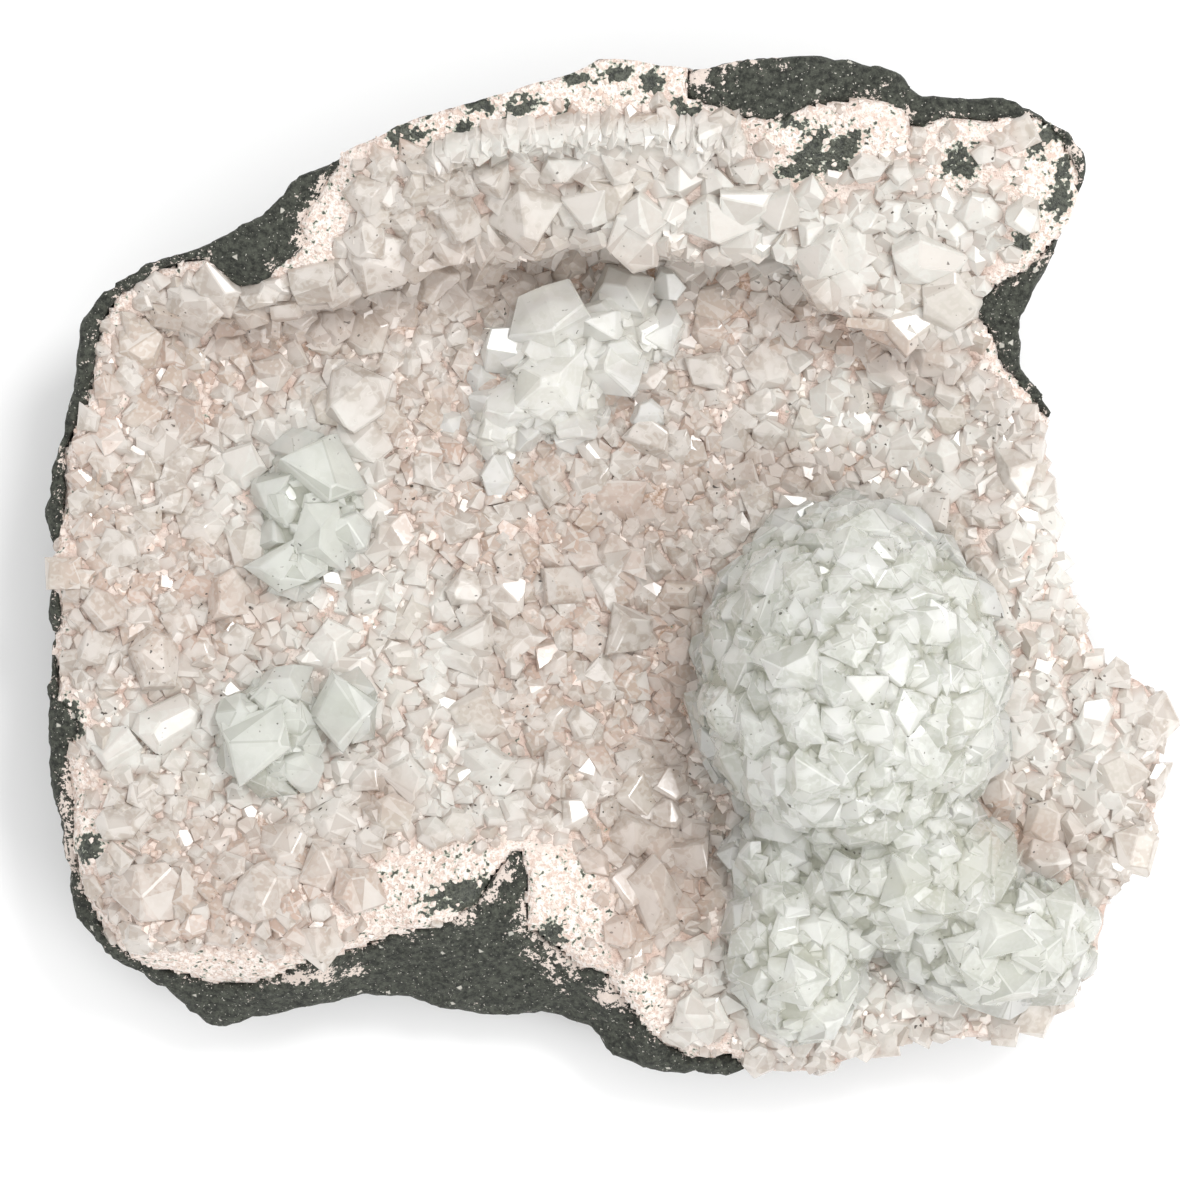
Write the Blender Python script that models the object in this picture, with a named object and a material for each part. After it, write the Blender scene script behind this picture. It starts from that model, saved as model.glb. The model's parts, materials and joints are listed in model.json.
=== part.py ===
"""Apophyllite geode: the open half of a basalt geode, lying on a flat cut face with its hollow up.

A rind of dark basalt holds a crust of pale pink druse, with a ledge of wall crystals that hangs over
the hollow along its upper side. Four apophyllite clusters stand on the crust: a large green dome with
two lobes, a white blocky one, a grey-green ridge and a small rounded one.
X runs to the right and Y up as one looks down into the hollow, and Z is up.
"""

import math
import random

import bmesh
import bpy
import numpy as np
from mathutils import Matrix, Vector, noise

MM = 0.001
GOLDEN_TURN = math.pi * (3 - math.sqrt(5))
COLLECTION = "apophyllite_geode"

# The gap between neighbours that touch, taken straight up or outwards.
GAP = 0.4 * MM

# The crust's thickness, measured down, and how far the wall behind the ledge is set back from it.
CRUST_THICKNESS = 8 * MM
WALL_SETBACK = 20 * MM
WALL_LEAN = 4 * MM

# The hollow's wall leans back under its lip by this much on each side of the lip line.
UNDERCUT = 3 * MM
LIP_FADE = 30 * MM

# The rind's side: how far each ring is drawn in, and its height as a share of the rim's height there.
SIDE_RINGS = ((40, 0.0), (22, 0.18), (6, 0.52), (0, 0.82))
SIDE_ROUGHNESS = 2.5 * MM
SIDE_TOP = 150 * MM

# The surface grids: how far they reach, and their columns and rows below and above the lip line.
REACH_X = 206 * MM
REACH_BOTTOM = -186 * MM
REACH_TOP = 190 * MM
COLUMNS = 24
ROWS_BELOW = 14
ROWS_ABOVE = 5
ROCK_COLUMNS = 13
ROCK_ROWS_BELOW = 8
ROCK_ROWS_ABOVE = 4
BLOCK_FLOOR = -20 * MM
PRISM_LOW = -10 * MM
PRISM_HIGH = 170 * MM

# The relief of the fitted surfaces: how rounded they are at their spots, and the lumps on them.
SPOT_SOFTNESS = 10 * MM
CRUST_LUMPS = 1.8 * MM
LUMP_SIZE = 24 * MM

# The whole stone's outline, seen from above, anticlockwise from the lump at the upper left, in mm.
OUTLINE = (
    (-95, 142), (-108, 136), (-118, 124.5), (-130, 118), (-144, 111.5), (-158, 109), (-170, 101),
    (-175, 99), (-184.5, 88), (-183.5, 83), (-186, 68), (-190, 52), (-194, 40), (-196.5, 22),
    (-194, 6), (-195.5, -15), (-194, -22), (-196.5, -40), (-194.5, -60), (-195, -70), (-190, -90),
    (-188, -110), (-185, -120), (-176, -132), (-165, -140), (-152, -146), (-138, -158), (-128, -157),
    (-108, -152), (-86, -147), (-72, -147), (-58, -151.5), (-35, -154.5), (-20, -152.5), (-4, -159),
    (1, -167.5), (12, -171.5), (27, -175), (42, -176.5), (73, -176.5), (84, -172.5), (99, -169),
    (110, -164), (124, -164.5), (142, -163), (149, -160), (160, -154), (169, -143), (173, -138),
    (176, -122), (178, -113), (186, -102), (193, -92), (196, -70), (195.5, -60), (196.5, -50),
    (190, -39), (174, -32), (168, -19), (164, -5), (158.5, 7), (156.5, 28), (152, 48), (156, 55),
    (149, 66), (143.5, 72), (143, 88), (150, 102), (157, 118), (163, 133), (165.5, 140), (159, 150),
    (147, 158), (135, 163), (107, 163), (99, 170.5), (85, 175), (70, 177.5), (48, 175.5),
    (30, 171.5), (8, 174.5), (-3, 174.5), (-15, 169), (-38, 163), (-62, 156.5), (-84, 147.5),
)

# The crust's outline, in mm. Where the crust runs out to the side of the stone, it lies outside it.
CRUST_OUTLINE = (
    (-91, 141), (-100, 130), (-105, 121), (-102, 115), (-109, 109), (-120, 100), (-130, 98.5),
    (-138, 108), (-146, 108), (-158, 104.5), (-171, 96), (-177, 84), (-180, 62), (-190, 44),
    (-191, 20), (-192.5, 4), (-191, -12), (-193, -36), (-192, -44), (-186, -48), (-183, -55),
    (-189, -62), (-187, -80), (-186, -96), (-183, -113), (-175, -127), (-164, -137), (-148, -141),
    (-140, -144), (-124, -144), (-104, -134), (-88, -131), (-74, -125), (-60, -122), (-45, -115),
    (-41, -108), (-33, -96), (-29, -96), (-27, -112), (-28, -124), (-16, -132), (0, -141),
    (10, -153), (20, -166), (30, -171), (44, -170), (57, -182), (90, -181), (110, -172), (150, -170),
    (176, -148), (183, -118), (201, -95), (204, -45), (180, -26), (170, 2), (160, 46), (150, 58),
    (138, 71), (133, 83), (126, 93), (136, 101), (145, 106), (152, 113), (159, 125), (161, 138),
    (156, 149), (146, 156), (130, 154), (117, 155), (104, 151), (100, 157), (88, 160), (72, 159),
    (52, 153.5), (40, 156.5), (28, 162.5), (26, 167), (32, 181), (8, 182), (-18, 177), (-40, 171),
    (-64, 165), (-88, 156),
)

# The lip line, along which the upper wall hangs over the hollow, as x and y in mm.
LIP = (
    (-206, 92), (-160, 91), (-120, 94), (-100, 97), (-78, 108), (-50, 113), (-28, 114), (-10, 119),
    (5, 118), (30, 112), (48, 112), (60, 117), (75, 98), (100, 86), (122, 76), (150, 68), (206, 60),
)
LIP_START = -178 * MM
LIP_END = 122 * MM

# Heights of the hollow's floor, its sides and the outer slopes below the lip line: x, y, z in mm.
FLOOR_HEIGHTS = (
    (-150, 78, 50), (-100, 82, 44), (-60, 90, 40), (-20, 96, 38), (40, 95, 42), (70, 84, 46),
    (100, 60, 52), (130, 45, 58), (150, 30, 60), (125, 75, 70), (142, 72, 74), (152, 60, 68),
    (-150, 20, 50), (-170, 0, 56), (-187, 0, 62), (-120, 10, 48), (-80, 0, 44), (-40, 30, 40),
    (0, 20, 38), (20, -10, 36), (25, -60, 32), (0, -60, 38), (-40, -50, 42), (-80, -50, 46),
    (-120, -50, 50), (-160, -50, 56), (-186, -50, 61), (-150, -100, 60), (-182, -100, 62),
    (-162, -130, 62), (-125, -132, 62), (-100, -100, 56), (-60, -100, 58), (-70, -118, 62),
    (-33, -96, 60), (-20, -106, 58), (0, -130, 56), (20, -100, 40), (20, -150, 50), (40, -165, 46),
    (60, -170, 44), (150, 0, 56), (150, -40, 52), (165, -70, 48), (187, -60, 50), (182, -90, 46),
    (140, -90, 42), (100, -155, 44), (140, -150, 44), (80, -100, 38), (-184, 60, 62),
    (-185, 88, 62), (-180, 92, 66), (-196, 30, 50), (-196, -30, 50), (-195, -75, 50),
    (-188, -115, 48), (-165, -142, 40), (-132, -159, 22), (-100, -138, 58), (-82, -149, 24),
    (-60, -126, 60), (-36, -156, 20), (-38, -106, 60), (-28, -128, 54), (-6, -162, 22),
    (8, -158, 46), (30, -178, 30), (60, -178, 36), (194, -60, 46), (160, 0, 52), (158, 30, 54),
)

# Heights of the wall and the rim above the lip line: x, y, z in mm.
RIM_HEIGHTS = (
    (-150, 95, 62), (-110, 99, 67), (-70, 113, 72), (-20, 119, 76), (40, 116, 78), (80, 99, 76),
    (110, 86, 72), (125, 80, 71), (125, 75, 70), (142, 72, 74), (152, 60, 68), (-185, 88, 62),
    (-180, 92, 66), (-170, 101, 68), (-150, 109, 74), (-122, 114, 82), (-110, 132, 80),
    (-95, 141, 84), (-95, 120, 80), (-70, 150, 92), (-70, 130, 84), (-30, 160, 98), (-30, 136, 86),
    (0, 172, 100), (10, 140, 90), (50, 174, 98), (50, 160, 104), (50, 138, 90), (90, 170, 98),
    (90, 158, 104), (95, 130, 84), (130, 160, 96), (160, 143, 90), (150, 120, 88), (130, 112, 82),
    (141, 96, 82), (136, 80, 77), (120, 96, 76),
)

# Crystals that stand out on the crust: x, y, radius and rise in mm, and whether it is pointed.
CRUST_CRYSTALS = (
    (-87, 64, 13, 9, False), (-148, 53, 9, 6, False), (-118, 72, 8, 6, False), (-94, 88, 8, 5, False),
    (-158, -30, 12, 8, False), (-134, -9, 10, 7, False), (-155, -53, 13, 8, False),
    (-172, -60, 8, 5, False), (-85, -6, 9, 6, False), (-176, -12, 8, 5, False), (-172, 10, 8, 6, False),
    (-97, -24, 11, 6, False), (-153, -91, 6, 4, True), (8, -19, 9, 7, False), (-15, -3, 9, 6, False),
    (-33, -32, 6, 5, False), (-46, -24, 8, 6, False), (-50, -6, 8, 6, False), (-52, 17, 9, 6, True),
    (2, 8, 8, 8, True), (17, 3, 6, 5, True), (36, 72, 9, 6, False), (15, 48, 8, 6, False),
    (45, 50, 7, 6, True), (58, 50, 7, 5, False), (-10, -53, 6, 5, False), (-42, -68, 10, 7, False),
    (-18, -67, 6, 5, False), (8, -66, 6, 6, True), (8, -92, 10, 8, True), (-11, -86, 7, 5, False),
    (17, -115, 13, 8, False), (25, -135, 7, 5, True), (30, -156, 9, 6, False), (179, -77, 7, 5, False),
    (170, -55, 7, 5, False), (188, -58, 6, 5, False), (165, -90, 6, 5, False), (143, 36, 9, 7, True),
    (118, 42, 8, 6, True), (103, 62, 7, 5, False), (120, 62, 6, 5, False), (142, 10, 8, 5, False),
    (-88, -110, 11, 6, False), (-120, -112, 12, 6, False), (-160, -112, 13, 6, False),
    (-60, -92, 8, 5, False), (-70, -72, 9, 5, False), (-20, 30, 7, 5, False), (78, 62, 8, 5, False),
)

# Crystals of the wall over the lip and the rim behind it, in the same terms.
WALL_CRYSTALS = (
    (-66, 118, 7, 6, True), (-86, 116, 8, 6, False), (-49, 121, 8, 8, True), (-28, 124, 9, 9, True),
    (-6, 128, 7, 7, True), (15, 122, 8, 8, True), (39, 122, 10, 9, True), (75, 109, 10, 7, False),
    (90, 122, 7, 5, False), (90, 139, 7, 5, False), (110, 106, 13, 6, False), (58, 128, 8, 6, True),
    (-108, 104, 7, 5, False), (-52, 140, 7, 6, True), (-30, 143, 7, 6, True), (-8, 147, 7, 6, True),
    (14, 144, 8, 6, True), (36, 143, 7, 6, True), (-76, 134, 7, 5, True), (143, 122, 7, 5, False),
    (128, 124, 8, 5, False),
)

# Small crystals scattered between those: their number, radius and rise in mm, and their spacing.
SCATTERED = 18
SCATTER_RADIUS = (4.5, 8.0)
SCATTER_RISE = (3.0, 5.5)
SCATTER_SPACING = 0.92
CLUSTER_CLEARANCE = 8
EDGE_CLEARANCE = 5

# Each cluster's lobes: x, y, half width, half depth and the height of its top, in mm.
GREEN_LOBES = (
    (87, -38, 54, 64, 108),
    (67, -134, 23, 30, 78),
    (135, -127, 38, 24, 72),
    (104, -104, 40, 30, 82),
)
WHITE_LOBES = ((-18, 72, 20, 26, 52), (8, 84, 14, 15, 52), (-38, 52, 11, 12, 48))
RIDGE_LOBES = ((-104, 24, 17, 24, 58), (-112, 4, 11, 12, 55))
ROUND_LOBES = ((-119, -57, 17, 19, 66), (-92, -48, 9, 10, 54))

# The crystals over each cluster: spacing, radius and rise in mm, and the seed of their places.
GREEN_GROWTH = (22.5, (7.5, 12.0), (3.0, 6.0), 11)
WHITE_GROWTH = (24.0, (5.5, 8.0), (3.0, 5.0), 12)
RIDGE_GROWTH = (15.0, (5.0, 7.5), (3.0, 5.5), 13)
ROUND_GROWTH = (12.5, (4.5, 7.0), (2.5, 4.5), 14)

# The large crystals of each cluster: x, y, radius and rise in mm, and whether it is pointed.
WHITE_BLOCKS = (
    (-20, 88, 11.5, 13, False), (-21, 64, 10.5, 12, False), (-36, 80, 9, 9, False),
    (6, 97, 10, 9, True), (19, 84, 7, 7, True), (1, 70, 10, 10, False), (-14, 46, 7, 6, True),
    (-35, 57, 8.5, 8, False), (-54, 53, 6, 5, True), (-38, 36, 7.5, 6, False), (-2, 86, 9, 12, True),
)
RIDGE_BLOCKS = ((-98, 35, 9, 10, False), (-101, 17, 8, 8, True), (-118, 34, 7, 6, True))
ROUND_BLOCKS = ((-92, -48, 9, 7, False), (-115, -36, 6, 6, True))
GREEN_BLOCKS = (
    (109, -18, 8, 7, True), (84, 11, 9, 7, True), (52, -68, 9, 6, False), (139, -57, 7, 8, True),
    (135, -140, 7, 6, True), (66, -140, 8, 6, False),
)

# A crystal's root under its foot, and the radius under which its prism is left out.
CRYSTAL_ROOT = 5 * MM
SMALL_CRYSTAL = 9.5 * MM

# How far crystals lean at random, and how far those of the wall lean out over the hollow.
DRUSE_LEAN = 0.35
CLUSTER_LEAN = 0.25
WALL_LEAN_OUT = 0.35
SCATTER_SEED = 7

# Crystals cover a lobe from its top down to this share of its half height.
LOBE_COVER = 0.94


def clear_scene():
    """Removes whatever the scene holds."""
    for item in list(bpy.data.objects):
        bpy.data.objects.remove(item)


def collection(name, hidden=False):
    """A collection of the scene; a hidden one holds cutters."""
    made = bpy.data.collections.new(name)
    made.hide_render = hidden
    bpy.context.scene.collection.children.link(made)
    return made


def material(name, colour, roughness, transmission=0.0):
    """A plain Principled material; colour is linear red, green and blue."""
    made = bpy.data.materials.new(name)
    made.use_nodes = True
    shader = made.node_tree.nodes["Principled BSDF"]
    shader.inputs["Base Color"].default_value = (*colour, 1.0)
    shader.inputs["Roughness"].default_value = roughness
    shader.inputs["Metallic"].default_value = 0.0
    shader.inputs["Transmission Weight"].default_value = transmission
    return made


def fitted(spots):
    """The centres and weights of a smooth surface through spots of (x, y, z) in mm."""
    table = np.array(spots, float) * MM
    across = table[:, None, :2] - table[None, :, :2]
    kernel = np.sqrt((across**2).sum(axis=2) + SPOT_SOFTNESS**2)
    mean = table[:, 2].mean()
    return table[:, :2], np.linalg.solve(kernel, table[:, 2] - mean), mean


FLOOR = fitted(FLOOR_HEIGHTS)
RIM = fitted(RIM_HEIGHTS)
LIP_X = [x * MM for x, _ in LIP]
LIP_Y = [y * MM for _, y in LIP]


def surface_height(surface, x, y):
    """The height of a fitted surface, with the lumps that crystals make of it."""
    centres, weights, mean = surface
    distance = np.sqrt(((centres - (x, y)) ** 2).sum(axis=1) + SPOT_SOFTNESS**2)
    lumps = noise.noise(Vector((x, y, 0)) / LUMP_SIZE) * CRUST_LUMPS
    return float(mean + distance @ weights + lumps)


def lip_y(x):
    """Where the lip line runs at this x."""
    return float(np.interp(x, LIP_X, LIP_Y))


def lip_strength(x):
    """How far the lip hangs over: 1 along the upper wall, fading to 0 at its two ends."""
    inside = min(x - LIP_START, LIP_END - x) / LIP_FADE
    return min(1.0, max(0.0, inside))


def ground_height(x, y):
    """The height of the crust or the rock at a place."""
    return surface_height(RIM if y > lip_y(x) else FLOOR, x, y)


def ground_slope(x, y):
    """The direction that faces out of the ground, smoothed over a centimetre."""
    step = 6 * MM
    surface = RIM if y > lip_y(x) else FLOOR
    rise_x = surface_height(surface, x + step, y) - surface_height(surface, x - step, y)
    rise_y = surface_height(surface, x, y + step) - surface_height(surface, x, y - step)
    return Vector((-rise_x, -rise_y, 2 * step)).normalized()


def link(name, mesh, home):
    """An object of this mesh in the collection; in the cutters' one it is drawn as wire."""
    made = bpy.data.objects.new(name, mesh)
    home.objects.link(made)
    if home.hide_render:
        made.hide_render = True
        made.display_type = "WIRE"
    return made


def from_bmesh(name, shape, home):
    """An object made from a bmesh, with its normals facing out."""
    bmesh.ops.recalc_face_normals(shape, faces=shape.faces)
    mesh = bpy.data.meshes.new(name)
    shape.to_mesh(mesh)
    shape.free()
    return link(name, mesh, home)


def surface_block(name, home, drop=0.0, setback=0.0, undercut=UNDERCUT, coarse=False):
    """Everything under the ground's surface, lowered by drop and with its wall set back by setback.

    The wall hangs over by the undercut on each side of the lip line, and leans back where it fades.
    """
    shape = bmesh.new()
    below = ROCK_ROWS_BELOW if coarse else ROWS_BELOW
    above = ROCK_ROWS_ABOVE if coarse else ROWS_ABOVE
    rows = below + above + 1
    columns = ROCK_COLUMNS if coarse else COLUMNS
    bmesh.ops.create_grid(shape, x_segments=columns, y_segments=rows, size=1)
    for vert in shape.verts:
        x = vert.co.x * REACH_X
        row = round((vert.co.y + 1) / 2 * rows)
        lip = lip_y(x) + setback
        over = undercut * lip_strength(x)
        if row <= below:
            share = row / below
            y = REACH_BOTTOM + (lip + 2 * over - UNDERCUT - REACH_BOTTOM) * share
            z = surface_height(FLOOR, x, y)
        else:
            share = (row - below - 1) / above
            y = lip - over + (REACH_TOP - lip) * share
            z = surface_height(RIM, x, y)
        vert.co = (x, y, z - drop)
    made = bmesh.ops.extrude_face_region(shape, geom=shape.faces[:], use_keep_orig=True)
    for item in made["geom"]:
        if isinstance(item, bmesh.types.BMVert):
            item.co.z = BLOCK_FLOOR
    bmesh.ops.triangulate(shape, faces=shape.faces, quad_method="FIXED")
    return from_bmesh(name, shape, home)


def grown(outline, by):
    """The outline, given in mm, moved outwards by a distance in metres."""
    points = [Vector(point) * MM for point in outline]
    moved = []
    for before, here, after in zip(points[-1:] + points[:-1], points, points[1:] + points[:1]):
        first = (here - before).normalized()
        second = (after - here).normalized()
        out = Vector((first.y + second.y, -first.x - second.x)).normalized()
        reach = by / max(0.5, out.dot(Vector((first.y, -first.x))))
        moved.append(here + out * reach)
    return moved


def prism(name, home, points):
    """An upright prism of an outline, through the whole height of the stone."""
    curve = bpy.data.curves.new(name + "_outline", "CURVE")
    curve.dimensions = "2D"
    curve.fill_mode = "BOTH"
    curve.extrude = (PRISM_HIGH - PRISM_LOW) / 2
    spline = curve.splines.new("POLY")
    spline.points.add(len(points) - 1)
    for target, point in zip(spline.points, points):
        target.co = (point.x, point.y, 0, 1)
    spline.use_cyclic_u = True
    guide = bpy.data.objects.new(name + "_outline", curve)
    guide.location.z = (PRISM_HIGH + PRISM_LOW) / 2
    home.objects.link(guide)
    bpy.context.view_layer.update()
    graph = bpy.context.evaluated_depsgraph_get()
    mesh = bpy.data.meshes.new_from_object(guide.evaluated_get(graph))
    shape = bmesh.new()
    shape.from_mesh(mesh)
    bmesh.ops.remove_doubles(shape, verts=shape.verts, dist=0.00001)
    made = from_bmesh(name, shape, home)
    made.matrix_world = guide.matrix_world.copy()
    bpy.data.objects.remove(guide)
    return made


def rock_body(name, home):
    """The whole stone to above its rim: drawn in to the flat base, and upright above its widest line."""
    shape = bmesh.new()
    points = [Vector((x, y)) * MM for x, y in OUTLINE]
    rings = []
    for inset, share in SIDE_RINGS + ((0, None),):
        ring = []
        for point in points:
            rim = ground_height(point.x, point.y)
            height = SIDE_TOP if share is None else rim * share
            rough = noise.noise(Vector((point.x, point.y, height)) / LUMP_SIZE) * SIDE_ROUGHNESS
            drawn = inset * MM + (rough if inset else 0)
            ring.append(shape.verts.new((*(point * (1 - drawn / point.length)), height)))
        rings.append(ring)
    for lower, upper in zip(rings, rings[1:]):
        for index in range(len(points)):
            after = (index + 1) % len(points)
            shape.faces.new((lower[index], lower[after], upper[after], upper[index]))
    shape.faces.new(rings[0])
    shape.faces.new(rings[-1])
    return from_bmesh(name, shape, home)


def turned_to(direction, spin):
    """The turn that stands a crystal's axis along a direction, after a spin about it."""
    return direction.to_track_quat("Z", "Y").to_matrix().to_4x4() @ Matrix.Rotation(spin, 4, "Z")


def add_crystal(shape, foot, axis, radius, rise, pointed, chance):
    """A crystal rooted under its foot: a prism with a pyramid or a bevelled flat top on it.

    A small one is a single taper, because its prism hardly shows.
    """
    sides = 4 if pointed else chance.choice((4, 5))
    body = rise * (0.45 if pointed else 0.72)
    tip = 0.16 if pointed else chance.uniform(0.55, 0.72)
    small = radius < SMALL_CRYSTAL
    place = Matrix.Translation(foot) @ turned_to(axis, chance.uniform(0, math.tau))
    squeeze = Matrix.Diagonal((1.0, chance.uniform(0.78, 1.0), 1.0, 1.0))
    top = rise if small else body
    verts = bmesh.ops.create_cone(
        shape,
        cap_ends=True,
        segments=sides,
        radius1=radius * (1.15 if small else 0.85),
        radius2=radius * (math.sqrt(tip) if small else 1.0),
        depth=top + CRYSTAL_ROOT,
        matrix=Matrix.Translation((0, 0, (top - CRYSTAL_ROOT) / 2)),
    )["verts"]
    if not small:
        upper = [vert for vert in verts if vert.co.z > 0]
        lid = next(face for face in upper[0].link_faces if all(v in upper for v in face.verts))
        raised = bmesh.ops.extrude_face_region(shape, geom=[lid])["geom"]
        bmesh.ops.delete(shape, geom=[lid], context="FACES_ONLY")
        for vert in raised:
            if isinstance(vert, bmesh.types.BMVert):
                vert.co = (vert.co.x * tip, vert.co.y * tip, rise)
                verts.append(vert)
    bmesh.ops.transform(shape, matrix=place @ squeeze, verts=verts)


def leaning(normal, chance, most):
    """A direction near the normal, leaning a random way."""
    lean = Vector((chance.uniform(-most, most), chance.uniform(-most, most), 0))
    return (normal + lean).normalized()


def inside(outline, x, y):
    """Whether a place lies inside an outline, all in mm."""
    found = False
    for (x1, y1), (x2, y2) in zip(outline, outline[1:] + outline[:1]):
        if (y1 > y) != (y2 > y) and x < (x2 - x1) * (y - y1) / (y2 - y1) + x1:
            found = not found
    return found


def edge_distance(outline, x, y):
    """The distance from a place to the nearest side of an outline, all in mm."""
    place = Vector((x, y))
    nearest = math.inf
    for first, second in zip(outline, outline[1:] + outline[:1]):
        start = Vector(first)
        side = Vector(second) - start
        share = min(1.0, max(0.0, (place - start).dot(side) / side.length_squared))
        nearest = min(nearest, (start + side * share - place).length)
    return nearest


def clear_of_clusters(x, y, radius):
    """Whether a crystal on the crust keeps clear of every cluster, in mm."""
    for lobe_x, lobe_y, half_x, half_y, _ in GREEN_LOBES + WHITE_LOBES + RIDGE_LOBES + ROUND_LOBES:
        room = radius + CLUSTER_CLEARANCE
        if ((x - lobe_x) / (half_x + room)) ** 2 + ((y - lobe_y) / (half_y + room)) ** 2 < 1:
            return False
    for block_x, block_y, size, _, _ in WHITE_BLOCKS + RIDGE_BLOCKS + ROUND_BLOCKS:
        if math.hypot(x - block_x, y - block_y) < size + radius + 1:
            return False
    return True


def scattered_places(chance):
    """Places for small crystals between the named ones, as (x, y, radius, rise, pointed) in mm."""
    taken = [(x, y, radius) for x, y, radius, _, _ in CRUST_CRYSTALS + WALL_CRYSTALS]
    places = []
    while len(places) < SCATTERED:
        x = chance.uniform(-190, 195)
        y = chance.uniform(-170, 170)
        radius = chance.uniform(*SCATTER_RADIUS)
        near_lip = abs(y - lip_y(x * MM) / MM) < radius + 3
        if near_lip or not inside(CRUST_OUTLINE, x, y) or not inside(OUTLINE, x, y):
            continue
        if edge_distance(CRUST_OUTLINE, x, y) < radius + EDGE_CLEARANCE:
            continue
        if edge_distance(OUTLINE, x, y) < radius + EDGE_CLEARANCE:
            continue
        if not clear_of_clusters(x, y, radius):
            continue
        if any(
            math.hypot(x - other_x, y - other_y) < (radius + other) * SCATTER_SPACING
            for other_x, other_y, other in taken
        ):
            continue
        taken.append((x, y, radius))
        places.append((x, y, radius, chance.uniform(*SCATTER_RISE), chance.random() < 0.4))
    return places


def crust_crystals(name, home):
    """All the crystals that stand on the crust, in one mesh."""
    chance = random.Random(SCATTER_SEED)
    shape = bmesh.new()
    for x, y, radius, rise, pointed in CRUST_CRYSTALS + tuple(scattered_places(chance)):
        foot = Vector((x * MM, y * MM, ground_height(x * MM, y * MM)))
        axis = leaning(ground_slope(foot.x, foot.y), chance, DRUSE_LEAN)
        add_crystal(shape, foot, axis, radius * MM, rise * MM, pointed, chance)
    for x, y, radius, rise, pointed in WALL_CRYSTALS:
        foot = Vector((x * MM, y * MM, ground_height(x * MM, y * MM)))
        outward = ground_slope(foot.x, foot.y) + Vector((0, -WALL_LEAN_OUT, 0))
        axis = leaning(outward, chance, CLUSTER_LEAN)
        add_crystal(shape, foot, axis, radius * MM, rise * MM, pointed, chance)
    return from_bmesh(name, shape, home)


def lobe_frame(lobe):
    """A lobe's centre and half sizes in metres. Its centre lies just under the ground."""
    x, y, half_x, half_y, top = lobe
    base = ground_height(x * MM, y * MM) - 2 * MM
    return Vector((x * MM, y * MM, base)), Vector((half_x * MM, half_y * MM, top * MM - base))


def inside_lobe(lobe, point, shrink):
    """Whether a point lies inside a lobe drawn in by a distance."""
    centre, half = lobe_frame(lobe)
    scaled = [(point[axis] - centre[axis]) / (half[axis] - shrink) for axis in range(3)]
    return sum(value**2 for value in scaled) < 1


def cluster_crystals(shape, lobes, growth, blocks):
    """Crystals over the lobes, each facing straight out of its lobe, and the named blocks."""
    spacing, radii, rises, seed = growth
    chance = random.Random(seed)
    for lobe in lobes:
        centre, half = lobe_frame(lobe)
        area = math.tau * ((half.x * half.y + half.x * half.z + half.y * half.z) / 3)
        count = int(area / (spacing * MM) ** 2)
        for index in range(count):
            up = 1 - (index + 0.5) / count * LOBE_COVER
            around = index * GOLDEN_TURN + chance.uniform(-0.15, 0.15)
            flat = math.sqrt(1 - up**2)
            unit = Vector((flat * math.cos(around), flat * math.sin(around), up))
            foot = centre + Vector((unit.x * half.x, unit.y * half.y, unit.z * half.z))
            if any(inside_lobe(other, foot, 1.5 * MM) for other in lobes if other is not lobe):
                continue
            if foot.z < ground_height(foot.x, foot.y) + 4 * MM:
                continue
            normal = Vector((unit.x / half.x, unit.y / half.y, unit.z / half.z)).normalized()
            radius = chance.uniform(*radii) * MM
            rise = chance.uniform(*rises) * MM
            axis = leaning(normal, chance, CLUSTER_LEAN)
            add_crystal(shape, foot, axis, radius, rise, chance.random() < 0.6, chance)
    for x, y, radius, rise, pointed in blocks:
        heights = [ground_height(x * MM, y * MM)]
        for lobe in lobes:
            centre, half = lobe_frame(lobe)
            out = ((x * MM - centre.x) / half.x) ** 2 + ((y * MM - centre.y) / half.y) ** 2
            if out < 1:
                heights.append(centre.z + half.z * math.sqrt(1 - out))
        foot = Vector((x * MM, y * MM, max(heights)))
        axis = leaning(Vector((0, 0, 1)), chance, CLUSTER_LEAN)
        add_crystal(shape, foot, axis, radius * MM, rise * MM, pointed, chance)


def lobe_shell(shape, lobe):
    """A coarse ellipsoid for the body of a lobe, which its crystals stand on."""
    centre, half = lobe_frame(lobe)
    size = Matrix.Diagonal((half.x, half.y, half.z, 1.0))
    bmesh.ops.create_icosphere(
        shape, subdivisions=2, radius=1.0, matrix=Matrix.Translation(centre) @ size
    )


def combine(target, other, operation, self_crossing=False):
    """Adds an exact Boolean to an object."""
    step = target.modifiers.new(operation.lower() + "_" + other.name, "BOOLEAN")
    step.operation = operation
    step.solver = "EXACT"
    step.object = other
    step.use_self = self_crossing


def finished(made, finish):
    """Turns an object's Booleans into its own mesh, keeps its one outer shell and gives it a finish.

    Crystals that lean together can close a small gap off, so the shells inside go.
    """
    bpy.context.view_layer.update()
    graph = bpy.context.evaluated_depsgraph_get()
    mesh = bpy.data.meshes.new_from_object(made.evaluated_get(graph))
    shape = bmesh.new()
    shape.from_mesh(mesh)
    bmesh.ops.remove_doubles(shape, verts=shape.verts, dist=0.000002)
    shells = []
    left = set(shape.verts)
    while left:
        shell = set()
        waiting = [left.pop()]
        while waiting:
            vert = waiting.pop()
            shell.add(vert)
            near = {side.other_vert(vert) for side in vert.link_edges} & left
            left -= near
            waiting.extend(near)
        shells.append(shell)
    shells.sort(key=len)
    for shell in shells[:-1]:
        bmesh.ops.delete(shape, geom=list(shell), context="VERTS")
    shape.to_mesh(mesh)
    shape.free()
    mesh.name = made.name
    made.modifiers.clear()
    made.data = mesh
    mesh.materials.clear()
    mesh.materials.append(finish)


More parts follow.
